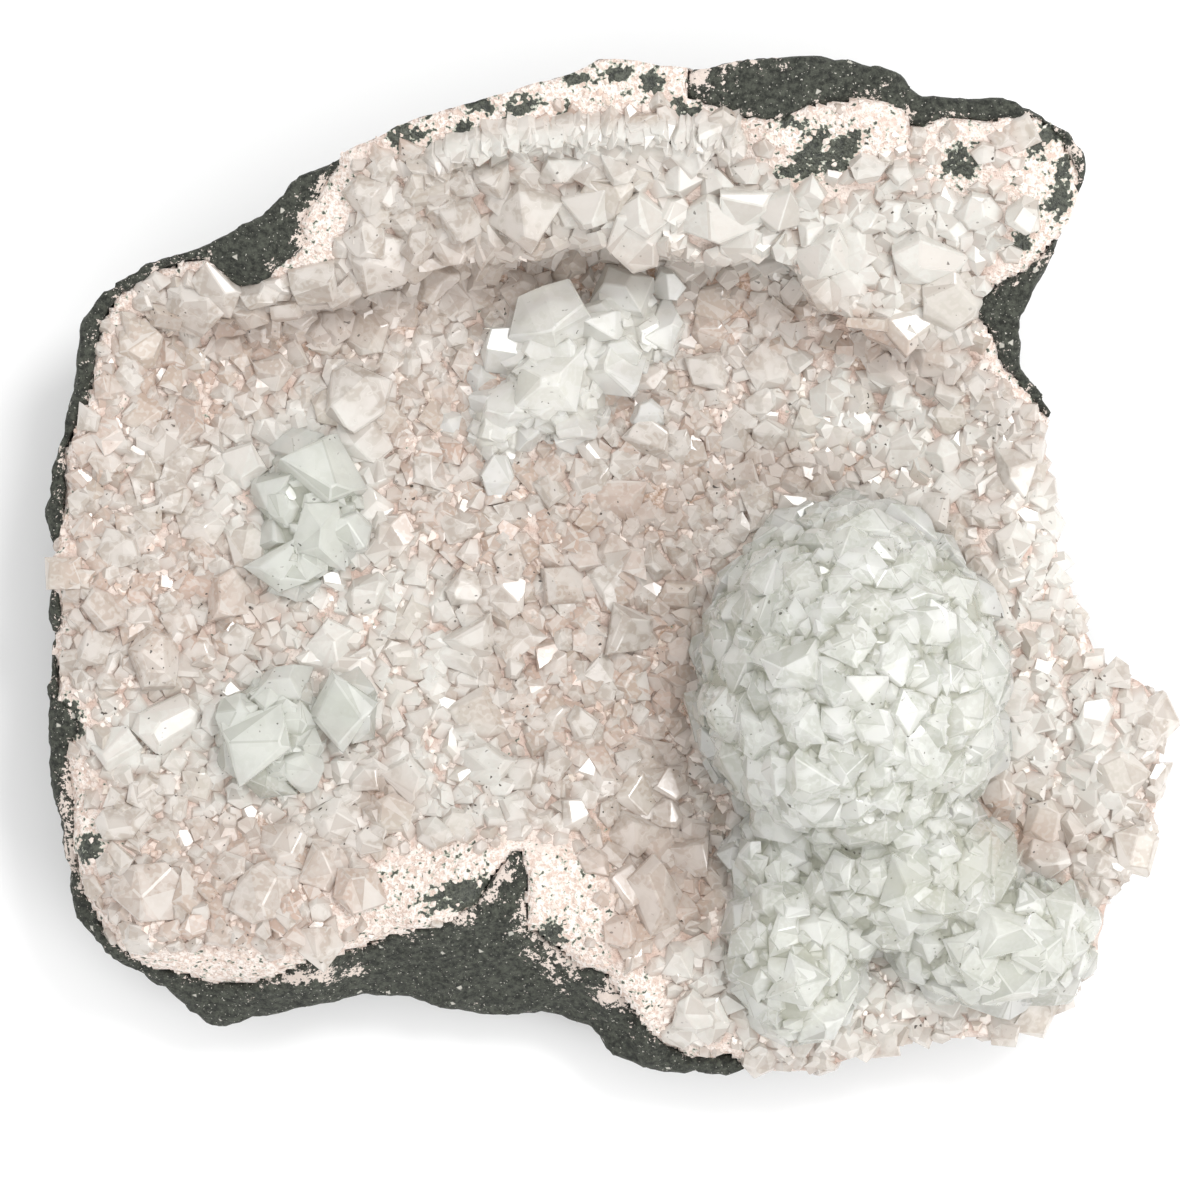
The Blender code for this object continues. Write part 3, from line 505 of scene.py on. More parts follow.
@dataclass(frozen=True)
class GrownCrystal:
    """Apophyllite as it grew: smooth glassy faces, cloudy with veils, over whatever lies under it; painted shade
    darkens its crevices and some faces, and a painted highlight whitens others.
    """

    name: str
    clear: str
    milk: str
    rose: str = "#d3b9a9"
    jade: str = "#f3f4ee"
    deep: str = "#cdc2b4"
    crevice_shade_and_rust: str = "#c8ae9f"
    # Painted shade of the darker faces.
    shade: str = "#bdb2a8"
    speck: str = "#57504a"
    transmission: float = 0.46
    smooth: float = 0.05
    dull: float = 0.26
    veil: float = 6.0
    frost: float = 1.6
    crevice_shade_depth: float = 2.0

    def material(self) -> bpy.types.Material:
        """Makes the material.

        Returns:
            The material.
        """
        brush = Brush(self.name)
        cloud = brush.cloud(self.veil, 1, 0.6)
        crack = brush.sum(brush.sum(cloud, 0.5, "SUBTRACT"), 0.0, "ABSOLUTE")
        veils = brush.sum(brush.ramp(cloud, 0.38, 0.62), brush.ramp(crack, 0.016, 0.004), "MAXIMUM")
        body = brush.mix(veils, self.clear, self.milk)
        own, facet = brush.stain("tint"), brush.stain("facet")
        warmth = brush.sum(brush.stain(Stain.ROSE.value), brush.ramp(own, 0.8, 0.15), "MULTIPLY")
        body = brush.mix(warmth, body, self.rose)
        body = brush.mix(brush.sum(brush.stain(Stain.JADE.value), 0.7, "MULTIPLY"), body, self.jade)
        body = brush.mix(brush.sum(brush.ramp(own, 0.25, 0.0), 0.7, "MULTIPLY"), body, self.deep)
        fine = brush.cloud(self.frost, 0)
        frost = brush.ramp(fine, 0.5, 0.66)
        body = brush.mix(brush.sum(frost, 0.45, "MULTIPLY"), body, self.milk)
        # Painted facet light: faces with a low random value take painted shade, those with a high one a whiter
        # painted highlight.
        body = brush.mix(brush.sum(brush.ramp(facet, 0.3, 0.0), 0.55, "MULTIPLY"), body, self.shade)
        body = brush.mix(brush.sum(brush.ramp(facet, 0.72, 0.95), 0.75, "MULTIPLY"), body, self.milk)
        # Painted shade: faces close to the ground darken to the crevice colour, as do places under the rust-and-shade
        # stain.
        low = brush.ramp(brush.stain("rise"), self.crevice_shade_depth * MM, 0.2 * MM)
        crystal_rust_and_shade = brush.sum(brush.stain(Stain.RUST.value), 0.3, "MULTIPLY")
        body = brush.mix(brush.sum(brush.sum(low, 0.45, "MULTIPLY"), crystal_rust_and_shade, "MAXIMUM"), body, self.crevice_shade_and_rust)
        specks = brush.ramp(fine, 0.24, 0.19)
        body = brush.mix(brush.sum(specks, brush.stain("glitter"), "MULTIPLY"), body, self.speck)
        gloss = brush.sum(brush.sum(facet, 7.3, "MULTIPLY"), 1.0, "MODULO")
        gloss = brush.sum(brush.sum(gloss, self.dull - self.smooth, "MULTIPLY"), self.smooth)
        brush.wear(Base_Color=body, Roughness=gloss, IOR=1.536)
        brush.wear(Transmission_Weight=self.transmission)
        return brush.material


@dataclass(frozen=True)
class Form:
    """How a crystal is shaped, in shares of its radius.

    It has upright sides, a slanted face over each side from the shoulder up, a flat top, and a few
    low facets round the top. The sides and slanted faces are uneven, as in crowded growth.
    """

    sides: tuple[int, int]
    shoulder: float
    steep: float
    top: float
    facets: int
    upright: bool = True


class Habit(Enum):
    """The habits that crystals grow in here."""

    BLOCKY = Form((4, 6), 0.2, 38, 0.43, 1)
    TABLET = Form((5, 6), 0.3, 56, 0.5, 1)
    SLAB = Form((4, 6), 0.14, 32, 0.38, 1)
    PYRAMID = Form((4, 5), 0.08, 38, 0.64, 1)
    CHIP = Form((4, 6), 0.3, 60, 0.44, 0, upright=False)
    POINTED = Form((4, 4), 0.12, 52, 1.05, 0)
    GRAIN = Form((4, 5), 0.35, 58, 0.75, 0, upright=False)


@dataclass
class CrystalShape:
    """One crystal of radius 1 that stands on the ground plane with its root under it."""

    habit: Habit
    chance: random.Random
    root: float = 0.5
    bevel: float = 0.0

    def planes(self) -> list[tuple[Vector, float]]:
        """The flat faces that bound the crystal.

        Returns:
            Each face's direction and its distance from the middle of the foot.
        """
        form = self.habit.value
        draw = self.chance.uniform
        lean = Vector((draw(-0.16, 0.16), draw(-0.16, 0.16), 1))
        found = [(Vector((0, 0, -1)), self.root), (lean.normalized(), form.top * draw(0.85, 1.15))]
        sides = self.chance.randint(*form.sides)
        own_steep = form.steep + draw(-7, 7)
        for side in range(sides):
            around = (side + draw(-0.2, 0.2)) * math.tau / sides
            width = draw(0.66, 1.0)
            out = Vector((math.cos(around), math.sin(around), 0))
            if form.upright:
                found.append(((out + Vector((0, 0, -0.1))).normalized(), width))
            slope = math.radians(own_steep + draw(-6, 6))
            facing = out * math.sin(slope) + Vector((0, 0, math.cos(slope)))
            shoulder = form.shoulder * draw(0.3, 1.7)
            found.append((facing, width * math.sin(slope) + shoulder * math.cos(slope)))
        for _ in range(form.facets):
            around = draw(0, math.tau)
            slope = math.radians(draw(14, 28))
            out = Vector((math.cos(around), math.sin(around), 0))
            facing = out * math.sin(slope) + Vector((0, 0, math.cos(slope)))
            found.append((facing, form.top * draw(0.9, 1.05)))
        return found

    def solid(self) -> bmesh.types.BMesh:
        """Builds the crystal as the space inside all its planes.

        Returns:
            A closed mesh with flat faces.
        """
        planes = self.planes()
        normals = np.array([facing for facing, _ in planes])
        reaches = np.array([reach for _, reach in planes])
        shape = bmesh.new()
        for trio in combinations(range(len(planes)), 3):
            square = normals[list(trio)]
            if abs(np.linalg.det(square)) < 0.02:
                continue
            point = np.linalg.solve(square, reaches[list(trio)])
            if (normals @ point <= reaches + 1e-6).all():
                shape.verts.new(point)
        bmesh.ops.remove_doubles(shape, verts=shape.verts, dist=0.03)
        bmesh.ops.convex_hull(shape, input=shape.verts)
        bmesh.ops.dissolve_limit(shape, angle_limit=0.06, verts=shape.verts, edges=shape.edges)
        if self.bevel:
            sharp = [edge for edge in shape.edges if min(v.co.z for v in edge.verts) > 0.02]
            bmesh.ops.bevel(shape, geom=sharp, offset=self.bevel, segments=1, affect="EDGES")
        bmesh.ops.triangulate(shape, faces=[face for face in shape.faces if len(face.verts) > 4])
        bmesh.ops.recalc_face_normals(shape, faces=shape.faces)
        return shape

    def object(self, name: str, place: Matrix, tint: float) -> bpy.types.Object:
        """Makes the crystal an object, in metres.

        Args:
            name: the object's name.
            place: where it stands and how large it is, in mm.
            tint: how white it is, from 0 to 1.

        Returns:
            The object, which is in no collection yet.
        """
        shape = self.solid()
        made = bpy.data.meshes.new(name)
        bmesh.ops.transform(shape, matrix=Matrix.Scale(MM, 4) @ place, verts=shape.verts)
        shape.to_mesh(made)
        shape.free()
        facets = len(made.polygons)
        for key, values in (("tint", [tint] * facets), ("facet", [self.chance.random() for _ in range(facets)])):
            made.attributes.new(key, "FLOAT", "FACE").data.foreach_set("value", values)
        return bpy.data.objects.new(name, made)


@dataclass
class FittedSurface:
    """A smooth surface through spots given as x, y and height."""

    spots: tuple[tuple[float, float, float], ...]
    softness: float = 10.0
    centres: np.ndarray = field(init=False)
    weights: np.ndarray = field(init=False)
    mean: float = field(init=False)

    def __post_init__(self) -> None:
        """Fits the surface."""
        table = np.array(self.spots, float)
        self.centres = table[:, :2]
        self.mean = float(table[:, 2].mean())
        self.weights = np.linalg.solve(self.kernel(self.centres), table[:, 2] - self.mean)

    def kernel(self, places: np.ndarray) -> np.ndarray:
        """The softened distance from each place to each spot."""
        across = places[:, None, :] - self.centres[None, :, :]
        return np.sqrt((across**2).sum(axis=2) + self.softness**2)

    def heights(self, places: np.ndarray) -> np.ndarray:
        """The surface's height at each place."""
        return self.mean + self.kernel(places) @ self.weights


@dataclass
class Ground:
    """The surface that the crystals stand on: the floor and, over the lip line, the wall's top."""

    floor: FittedSurface
    rim: FittedSurface
    undercut: float = 3.0
    lip_start: float = -178.0
    lip_end: float = 122.0
    lip_fade: float = 30.0
    lump_size: float = 24.0
    lump_height: float = 1.8

    def lip_y(self, x: Any) -> Any:
        """Where the lip line runs at each x."""
        return np.interp(x, [point[0] for point in LIP], [point[1] for point in LIP])

    def overhang(self, x: np.ndarray) -> np.ndarray:
        """How far the lip hangs over on each side of its line."""
        inside = np.minimum(x - self.lip_start, self.lip_end - x) / self.lip_fade
        return self.undercut * np.clip(inside, 0, 1)

    def lumps(self, places: np.ndarray) -> np.ndarray:
        """The lumps of the surface at each place."""
        size = self.lump_size
        return self.lump_height * np.array([noise.noise(Vector((x / size, y / size, 0))) for x, y in places])

    def heights(self, places: np.ndarray, rim: np.ndarray | None = None) -> np.ndarray:
        """The ground's height at each place.

        Args:
            places: x and y of each.
            rim: which of them take the rim's surface; by default those past the lip line.

        Returns:
            The heights.
        """
        if rim is None:
            rim = places[:, 1] > self.lip_y(places[:, 0])
        flat = np.where(rim, self.rim.heights(places), self.floor.heights(places))
        return flat + self.lumps(places)

    def stand(self, x: float, y: float) -> tuple[Vector, Vector]:
        """Where something stands at a place, and the direction that faces out of the ground there.

        Args:
            x: the place's x.
            y: the place's y.

        Returns:
            The point and the direction.
        """
        step = 6.0
        rim = np.full(5, y > self.lip_y(x))
        around = np.array([(x, y), (x + step, y), (x - step, y), (x, y + step), (x, y - step)])
        here, east, west, north, south = self.heights(around, rim)
        return Vector((x, y, here)), Vector((west - east, south - north, 2 * step)).normalized()


def roughened(outline: tuple, depth: float, size: float, stretch: float = 2.5) -> np.ndarray:
    """Cuts an outline into short stretches and makes it ragged.

    Args:
        outline: its corners, anticlockwise.
        depth: how far the ragged edge strays.
        size: how far its notches are apart.
        stretch: the length of the short stretches.

    Returns:
        The ragged outline's corners.
    """
    points = np.array(outline, float)
    made = []
    for first, second in zip(points, np.roll(points, -1, axis=0)):
        length = np.linalg.norm(second - first)
        out = np.array((second[1] - first[1], first[0] - second[0])) / length
        for share in np.arange(0, 1, stretch / max(length, stretch)):
            place = first + (second - first) * share
            coarse = noise.noise(Vector((place[0] / size, place[1] / size, 3.7)))
            fine = noise.noise(Vector((place[0] / size * 3, place[1] / size * 3, 8.1)))
            made.append(place + out * depth * (coarse + 0.45 * fine))
    return np.array(made)


def margin(places: np.ndarray, outline: np.ndarray) -> tuple[np.ndarray, np.ndarray]:
    """How far inside an outline each place lies.

    Args:
        places: x and y of each.
        outline: the outline's corners.

    Returns:
        The distances, negative outside, and the nearest points of the outline.
    """
    starts, ends = outline, np.roll(outline, -1, axis=0)
    sides = ends - starts
    rise = np.where(np.abs(sides[:, 1]) < 1e-9, 1e-9, sides[:, 1])
    distances, nearest = [], []
    for block in np.array_split(places, len(places) // 2000 + 1):
        across = block[:, None, :] - starts[None]
        share = np.clip((across * sides).sum(axis=2) / (sides**2).sum(axis=1), 0, 1)
        near = starts + sides * share[:, :, None]
        gap = np.linalg.norm(block[:, None] - near, axis=2)
        best = gap.argmin(axis=1)
        y = block[:, None, 1]
        crossed = (starts[:, 1] > y) != (ends[:, 1] > y)
        crossed &= block[:, None, 0] < sides[:, 0] * (y - starts[:, 1]) / rise + starts[:, 0]
        sign = np.where(crossed.sum(axis=1) % 2 == 1, 1.0, -1.0)
        row = np.arange(len(block))
        distances.append(gap[row, best] * sign)
        nearest.append(near[row, best])
    return np.concatenate(distances), np.concatenate(nearest)


def smooth_step(values: np.ndarray, low: float, high: float) -> np.ndarray:
    """0 at low and 1 at high, with a soft start and end."""
    share = np.clip((values - low) / (high - low), 0, 1)
    return share * share * (3 - 2 * share)


def grain_of(points: np.ndarray, size: float) -> np.ndarray:
    """A soft noise from -1 to 1 at each point, with lumps of the given size."""
    return np.array([noise.noise(Vector(point) / size) for point in points])


def stained(places: np.ndarray, stain: Stain) -> np.ndarray:
    """How strongly a stain shows at each place.

    Args:
        places: x and y of each.
        stain: which stain.

    Returns:
        A share from 0 to 1 for each place.
    """
    edge = 0.75 if stain is Stain.ROCK else 0.35
    strength = np.zeros(len(places))
    for x, y, length, width, turn in STAINS[stain]:
        angle = math.radians(turn)
        across = places - (x, y)
        along = across @ (math.cos(angle), math.sin(angle)) / length
        aside = across @ (-math.sin(angle), math.cos(angle)) / width
        reach = np.sqrt(along**2 + aside**2)
        strength = np.maximum(strength, 1 - smooth_step(reach, 1 - edge, 1 + edge))
    return strength


def mesh_object(name: str, mesh: bpy.types.Mesh, finish: bpy.types.Material) -> bpy.types.Object:
    """Puts a mesh into the scene as a piece at the origin, with one finish.

    Args:
        name: the piece's name.
        mesh: its mesh, in metres.
        finish: its material.

    Returns:
        The piece.
    """
    mesh.materials.clear()
    mesh.materials.append(finish)
    piece = bpy.data.objects.new(name, mesh)
    bpy.context.scene.collection.objects.link(piece)
    return piece


def evaluated_mesh(piece: bpy.types.Object) -> bpy.types.Mesh:
    """The mesh that an object's modifiers make of it."""
    graph = bpy.context.evaluated_depsgraph_get()
    return bpy.data.meshes.new_from_object(
        piece.evaluated_get(graph), preserve_all_data_layers=True, depsgraph=graph
    )


def set_attribute(mesh: bpy.types.Mesh, name: str, values: np.ndarray) -> None:
    """Stores a number for each of a mesh's points."""
    made = mesh.attributes.new(name, "FLOAT", "POINT")
    made.data.foreach_set("value", np.asarray(values, np.float32))


def points_of(mesh: bpy.types.Mesh) -> np.ndarray:
    """A mesh's points in mm."""
    flat = np.zeros(len(mesh.vertices) * 3, np.float32)
    mesh.vertices.foreach_get("co", flat)
    return flat.reshape(-1, 3).astype(float) / MM


def move_points(mesh: bpy.types.Mesh, points: np.ndarray) -> None:
    """Puts a mesh's points where the given ones are, in mm."""
    mesh.vertices.foreach_set("co", (points * MM).astype(np.float32).ravel())
    mesh.update()


@dataclass
class Shelf:
    """Hidden crystals of one habit, from which the growth picks."""

    habit: Habit
    count: int
    seed: int
    bevel: float = 0.0
    collection: bpy.types.Collection = field(init=False)

    def __post_init__(self) -> None:
        """Makes the crystals."""
        chance = random.Random(self.seed)
        self.collection = bpy.data.collections.new(f"{self.habit.name.lower()}_{self.seed}")
        for number in range(self.count):
            crystal = CrystalShape(self.habit, chance, bevel=self.bevel)
            name = f"{self.collection.name}_{number}"
            self.collection.objects.link(crystal.object(name, Matrix(), chance.random()))


@dataclass(frozen=True)
class Growth:
    """One size of crystals that a surface is grown over with; radii and spacing in mm."""

    shelf: Shelf
    spacing: float
    smallest: float
    largest: float
    tilt: float
    seed: int
    cover: str = "cover"


@dataclass
class Grower:
    """Grows crystals of a few sizes over a surface with Geometry Nodes, and fuses them to one skin."""

    sizes: int
    fused: bool = True
    sealed: bool = False
    glitter_patch: float = 11.0
    tree: bpy.types.NodeTree = field(init=False)
    sockets: dict[str, str] = field(init=False, default_factory=dict)

    def __post_init__(self) -> None:
        """Builds the node tree: the crystals of each size, all joined and made real."""
        kind = "sealed" if self.sealed else "fused" if self.fused else "loose"
        tree = bpy.data.node_groups.new(f"crystal_growth_{kind}_{self.sizes}", "GeometryNodeTree")
        self.tree = tree
        names = [("Surface", "Geometry"), ("Standing", "Collection"), ("Finish", "Material")]
        for size in range(self.sizes):
            names += [(f"Crystals {size}", "Collection"), (f"Cover {size}", "String")]
            names += [(f"{word} {size}", "Float") for word in ("Spacing", "Smallest", "Largest", "Tilt")]
            names += [(f"Seed {size}", "Int")]
        for name, sort in names:
            made = tree.interface.new_socket(name, in_out="INPUT", socket_type="NodeSocket" + sort)
            self.sockets[name] = made.identifier
        tree.interface.new_socket("Grown", in_out="OUTPUT", socket_type="NodeSocketGeometry")
        given = add_node(tree, "NodeGroupInput").outputs
        made = {"Collection": given["Standing"], "Separate Children": True}
        grown = [add_node(tree, "GeometryNodeCollectionInfo", made).outputs[0]]
        grown += [self.layer(given, size) for size in range(self.sizes)]
        if self.fused:
            joined = add_node(tree, "GeometryNodeMeshBoolean", operation="UNION", solver="MANIFOLD")
            target = joined.inputs["Mesh 2"]
        else:
            joined = add_node(tree, "GeometryNodeJoinGeometry")
            target = joined.inputs[0]
        if self.sealed:
            grown.append(given["Surface"])
        for crystals in grown:
            tree.links.new(crystals, target)
        real = add_node(tree, "GeometryNodeRealizeInstances", {0: joined.outputs[0]})
        place = add_node(tree, "GeometryNodeInputPosition").outputs[0]
        near = add_node(tree, "GeometryNodeProximity", {0: given["Surface"]}, target_element="FACES")
        tree.links.new(place, next(s for s in near.inputs if s.type == "VECTOR"))
        made = {"Geometry": real.outputs[0], "Name": "rise", "Value": near.outputs["Distance"]}
        marked = add_node(tree, "GeometryNodeStoreNamedAttribute", made, data_type="FLOAT", domain="POINT")
        made = {"Geometry": marked.outputs[0], "Material": given["Finish"]}
        painted = add_node(tree, "GeometryNodeSetMaterial", made)
        add_node(tree, "NodeGroupOutput", {0: painted.outputs[0]})

    def layer(self, given: Any, size: int) -> bpy.types.NodeSocket:
        """Adds the nodes that stand one size of crystals on the surface.

        Args:
            given: the tree's inputs.
            size: the size's number.

        Returns:
            The crystals, as instances.
        """
        tree = self.tree
        spacing = given[f"Spacing {size}"]
        tilt = given[f"Tilt {size}"]
        square = add_node(tree, "ShaderNodeMath", {0: spacing, 1: 2.0}, operation="POWER")
        most = add_node(tree, "ShaderNodeMath", {0: 1.6, 1: square.outputs[0]}, operation="DIVIDE")
        cover = add_node(tree, "GeometryNodeInputNamedAttribute", {"Name": given[f"Cover {size}"]})
        made = {
            "Mesh": given["Surface"], "Distance Min": spacing, "Seed": given[f"Seed {size}"],
            "Density Max": most.outputs[0], "Density Factor": cover.outputs[0],
        }
        scatter = add_node(tree, "GeometryNodeDistributePointsOnFaces", made, distribute_method="POISSON")
        draw = add_node(tree, "FunctionNodeRandomValue", {2: 0.0, 3: 1.0, 8: 11}, data_type="FLOAT")
        skew = add_node(tree, "ShaderNodeMath", {0: draw.outputs[1], 1: 1.7}, operation="POWER")
        made = {
            "Value": skew.outputs[0], "To Min": given[f"Smallest {size}"], "To Max": given[f"Largest {size}"],
        }
        radius = add_node(tree, "ShaderNodeMapRange", made)
        vigour = add_node(tree, "GeometryNodeInputNamedAttribute", {"Name": "vigour"})
        made = {0: radius.outputs[0], 1: vigour.outputs[0]}
        scale = add_node(tree, "ShaderNodeMath", made, operation="MULTIPLY")
        back = add_node(tree, "ShaderNodeMath", {0: tilt, 1: -1.0}, operation="MULTIPLY").outputs[0]
        high = add_node(tree, "ShaderNodeCombineXYZ", {0: tilt, 1: tilt, 2: math.pi})
        low = add_node(tree, "ShaderNodeCombineXYZ", {0: back, 1: back, 2: -math.pi})
        made = {0: low.outputs[0], 1: high.outputs[0], 8: 17}
        turn = add_node(tree, "FunctionNodeRandomValue", made, data_type="FLOAT_VECTOR")
        euler = add_node(tree, "FunctionNodeEulerToRotation", {0: turn.outputs[0]})
        made = {"Rotation": scatter.outputs["Rotation"], "Rotate By": euler.outputs[0]}
        rotation = add_node(tree, "FunctionNodeRotateRotation", made, rotation_space="LOCAL")
        made = {"Collection": given[f"Crystals {size}"], "Separate Children": True, "Reset Children": True}
        shelf = add_node(tree, "GeometryNodeCollectionInfo", made)
        pick = add_node(tree, "FunctionNodeRandomValue", {4: 0, 5: 999, 8: 23}, data_type="INT")
        made = {
            "Points": scatter.outputs["Points"], "Instance": shelf.outputs[0], "Pick Instance": True,
            "Instance Index": pick.outputs[2], "Rotation": rotation.outputs[0],
            "Scale": scale.outputs[0],
        }
        return add_node(tree, "GeometryNodeInstanceOnPoints", made).outputs[0]

    def grow(
        self,
        name: str,
        surface: bpy.types.Object,
        standing: bpy.types.Collection | None,
        growths: tuple[Growth, ...],
        finish: bpy.types.Material,
    ) -> bpy.types.Object:
        """Grows crystals over a surface.

        Args:
            name: the new piece's name.
            surface: what they grow on.
            standing: crystals placed one by one, which join them.
            growths: the sizes of the grown ones.
            finish: their material.

        Returns:
            A piece that holds them all, with the stains as attributes.
        """
        guide = bpy.data.objects.new(name + "_guide", surface.data)
        bpy.context.scene.collection.objects.link(guide)
        step = guide.modifiers.new("growth", "NODES")
        step.node_group = self.tree
        step[self.sockets["Finish"]] = finish
        step[self.sockets["Standing"]] = standing
        for size, growth in enumerate(growths):
            for key, value in (
                ("Crystals", growth.shelf.collection), ("Cover", growth.cover),
                ("Spacing", growth.spacing * MM), ("Smallest", growth.smallest),
                ("Largest", growth.largest), ("Tilt", growth.tilt), ("Seed", growth.seed),
            ):
                step[self.sockets[f"{key} {size}"]] = value
        mesh = evaluated_mesh(guide)
        bpy.data.objects.remove(guide)
        mesh.name = name
        points = points_of(mesh)
        for stain in Stain:
            set_attribute(mesh, stain.value, stained(points[:, :2], stain))
        set_attribute(mesh, "glitter", smooth_step(grain_of(points + 30, self.glitter_patch), 0.16, 0.3))
        return mesh_object(name, mesh, finish)


@dataclass
class NamedCrystals:
    """Crystals that stand where the eye picks them out, each an object of a hidden collection."""

    name: str
    seed: int
    plain: Habit = Habit.BLOCKY
    bevel: float = 0.04
    collection: bpy.types.Collection = field(init=False)
    chance: random.Random = field(init=False)

    def __post_init__(self) -> None:
        """Starts the collection and the random draws."""
        self.collection = bpy.data.collections.new(self.name)
        self.chance = random.Random(self.seed)

    def add(self, foot: Vector, axis: Vector, radius: float, rise: float, pointed: bool, tint: float) -> None:
        """Adds one crystal.

        Args:
            foot: the middle of its foot.
            axis: where it points.
            radius: its half width.
            rise: its height over the foot.
            pointed: whether it ends in a point.
            tint: how white it is, from 0 to 1.
        """
        habit = Habit.POINTED if pointed else self.plain
        spin = Matrix.Rotation(self.chance.uniform(0, math.tau), 4, "Z")
        tall = rise / (radius * habit.value.top)
        size = Matrix.Diagonal((radius, radius * self.chance.uniform(0.8, 1.0), radius * tall, 1))
        turn = axis.to_track_quat("Z", "Y").to_matrix().to_4x4()
        place = Matrix.Translation(foot) @ turn @ spin @ size
        crystal = CrystalShape(habit, self.chance, bevel=self.bevel)
        self.collection.objects.link(crystal.object(f"{self.name}_crystal", place, tint))

    def leaning(self, normal: Vector, most: float) -> Vector:
        """A direction near the normal, leaning a random way."""
        lean = Vector((self.chance.uniform(-most, most), self.chance.uniform(-most, most), 0))
        return (normal + lean).normalized()


@dataclass
class CrystalCrust:
    """The lining of the hollow: a bed of pink mineral with crystals of three sizes grown over it."""

    ground: Ground
    grower: Grower
    reach_x: float = 206.0
    reach_bottom: float = -186.0
    reach_top: float = 190.0
    spacing: float = 1.9
    wall_rows: int = 14
    thickness: float = 9.0
    setback: float = 6.0
    overlap: float = 2.0
    edge_drop: float = 3.2
    patch_size: float = 20.0
    lean: float = 0.35

    def grid(self) -> tuple[np.ndarray, np.ndarray]:
        """The upper surface as a grid of points that runs under the lip and up the wall.

        Returns:
            The points, by row and column, and the first row past the lip line.
        """
        columns = round(2 * self.reach_x / self.spacing) + 1
        x = np.linspace(-self.reach_x, self.reach_x, columns)
        lip, over = self.ground.lip_y(x), self.ground.overhang(x)
        below_end = lip + 2 * over - self.ground.undercut
        above_start = lip - over
        below = round((100 - self.reach_bottom) / self.spacing)
        above = round((self.reach_top - 100) / self.spacing)
        rows = []
        for share in np.linspace(0, 1, below):
            y = self.reach_bottom + (below_end - self.reach_bottom) * share
            places = np.column_stack((x, y))
            rows.append(np.column_stack((places, self.ground.heights(places, np.zeros(columns, bool)))))
        last = rows[-1]
        top_places = np.column_stack((x, above_start))
        top = np.column_stack((top_places, self.ground.heights(top_places, np.ones(columns, bool))))
        for share in np.linspace(0, 1, self.wall_rows + 2)[1:-1]:
            rows.append(last + (top - last) * share)
        for share in np.linspace(0, 1, above):
            y = above_start + (self.reach_top - lip) * share
            places = np.column_stack((x, y))
            rows.append(np.column_stack((places, self.ground.heights(places, np.ones(columns, bool)))))
        return np.array(rows), np.array([below, below + self.wall_rows])

    def bed(self) -> bpy.types.Object:
        """Builds the bed as one closed sheet with a rough top.

        Returns:
            The bed, with its stains and the crystals' cover as attributes.
        """
        grid, (wall_start, wall_end) = self.grid()
        rows, columns, _ = grid.shape
        points = grid.reshape(-1, 3)
        crust = roughened(CRUST_OUTLINE, 1.6, 7)
        stone = roughened(OUTLINE, 0.9, 6)
        to_crust, near_crust = margin(points[:, :2], crust)
        to_stone, near_stone = margin(points[:, :2], stone)
        to_crust += self.overlap
        edge = np.minimum(to_crust, to_stone)
        inside = edge > 0
        row_of = np.repeat(np.arange(rows), columns)
        points[:, 2] += 0.8 * grain_of(points, 5.0) + 0.45 * grain_of(points, 2.2)
        points[:, 2] -= self.edge_drop * (1 - smooth_step(to_crust, 0, 4.0))
        wall = (row_of >= wall_start) & (row_of < wall_end)
        points[wall, 1] += 1.6 * grain_of(points[wall], 6.0)

        index = np.arange(rows * columns).reshape(rows, columns)
        quads = np.stack((index[:-1, :-1], index[:-1, 1:], index[1:, 1:], index[1:, :-1]), axis=2)
        quads = quads.reshape(-1, 4)
        quads = quads[inside[quads].all(axis=1)]
        used = np.unique(quads)
        renumber = np.full(rows * columns, -1)
        renumber[used] = np.arange(len(used))
        top_faces = renumber[quads]
        top = points[used]
        cut = to_stone[used] < to_crust[used]
        sides, counts = self.rim_sides(top_faces)
        rim = np.unique(sides)
        snap = near_stone[used][rim]
        top[rim, :2] = np.where(cut[rim, None], snap, top[rim, :2])

        away = np.abs(top[:, 1] - self.ground.lip_y(top[:, 0]))
        strength = self.ground.overhang(top[:, 0]) / self.ground.undercut
        bottom = top.copy()
        past = row_of[used] >= wall_start
        bottom[:, 1] += self.setback * strength * np.where(past, np.exp(-away / 12), np.exp(-away / 8))
        bottom[:, 2] -= self.thickness
        count = len(top)
        skirt = np.column_stack((sides[:, 1], sides[:, 0], sides[:, 0] + count, sides[:, 1] + count))
        faces = np.concatenate((top_faces, top_faces[:, ::-1] + count, skirt))
        mesh = bpy.data.meshes.new("druse_bed")
        mesh.from_pydata((np.concatenate((top, bottom)) * MM).tolist(), [], faces.tolist())
        self.mark(mesh, np.concatenate((top, bottom)), count, np.tile(edge[used], 2), np.tile(to_crust[used], 2))
        mesh.shade_smooth()
        return mesh_object("druse_bed", mesh, DruseBed().material())

    @staticmethod
    def rim_sides(faces: np.ndarray) -> tuple[np.ndarray, np.ndarray]:
        """The sides that only one face has, in that face's direction.

        Args:
            faces: four points for each face.

        Returns:
            The sides as pairs of points, and how many faces each side has.
        """
        sides = np.concatenate([faces[:, [a, (a + 1) % 4]] for a in range(4)])
        key = np.sort(sides, axis=1)
        _, place, counts = np.unique(key, axis=0, return_inverse=True, return_counts=True)
        return sides[counts[place.ravel()] == 1], counts

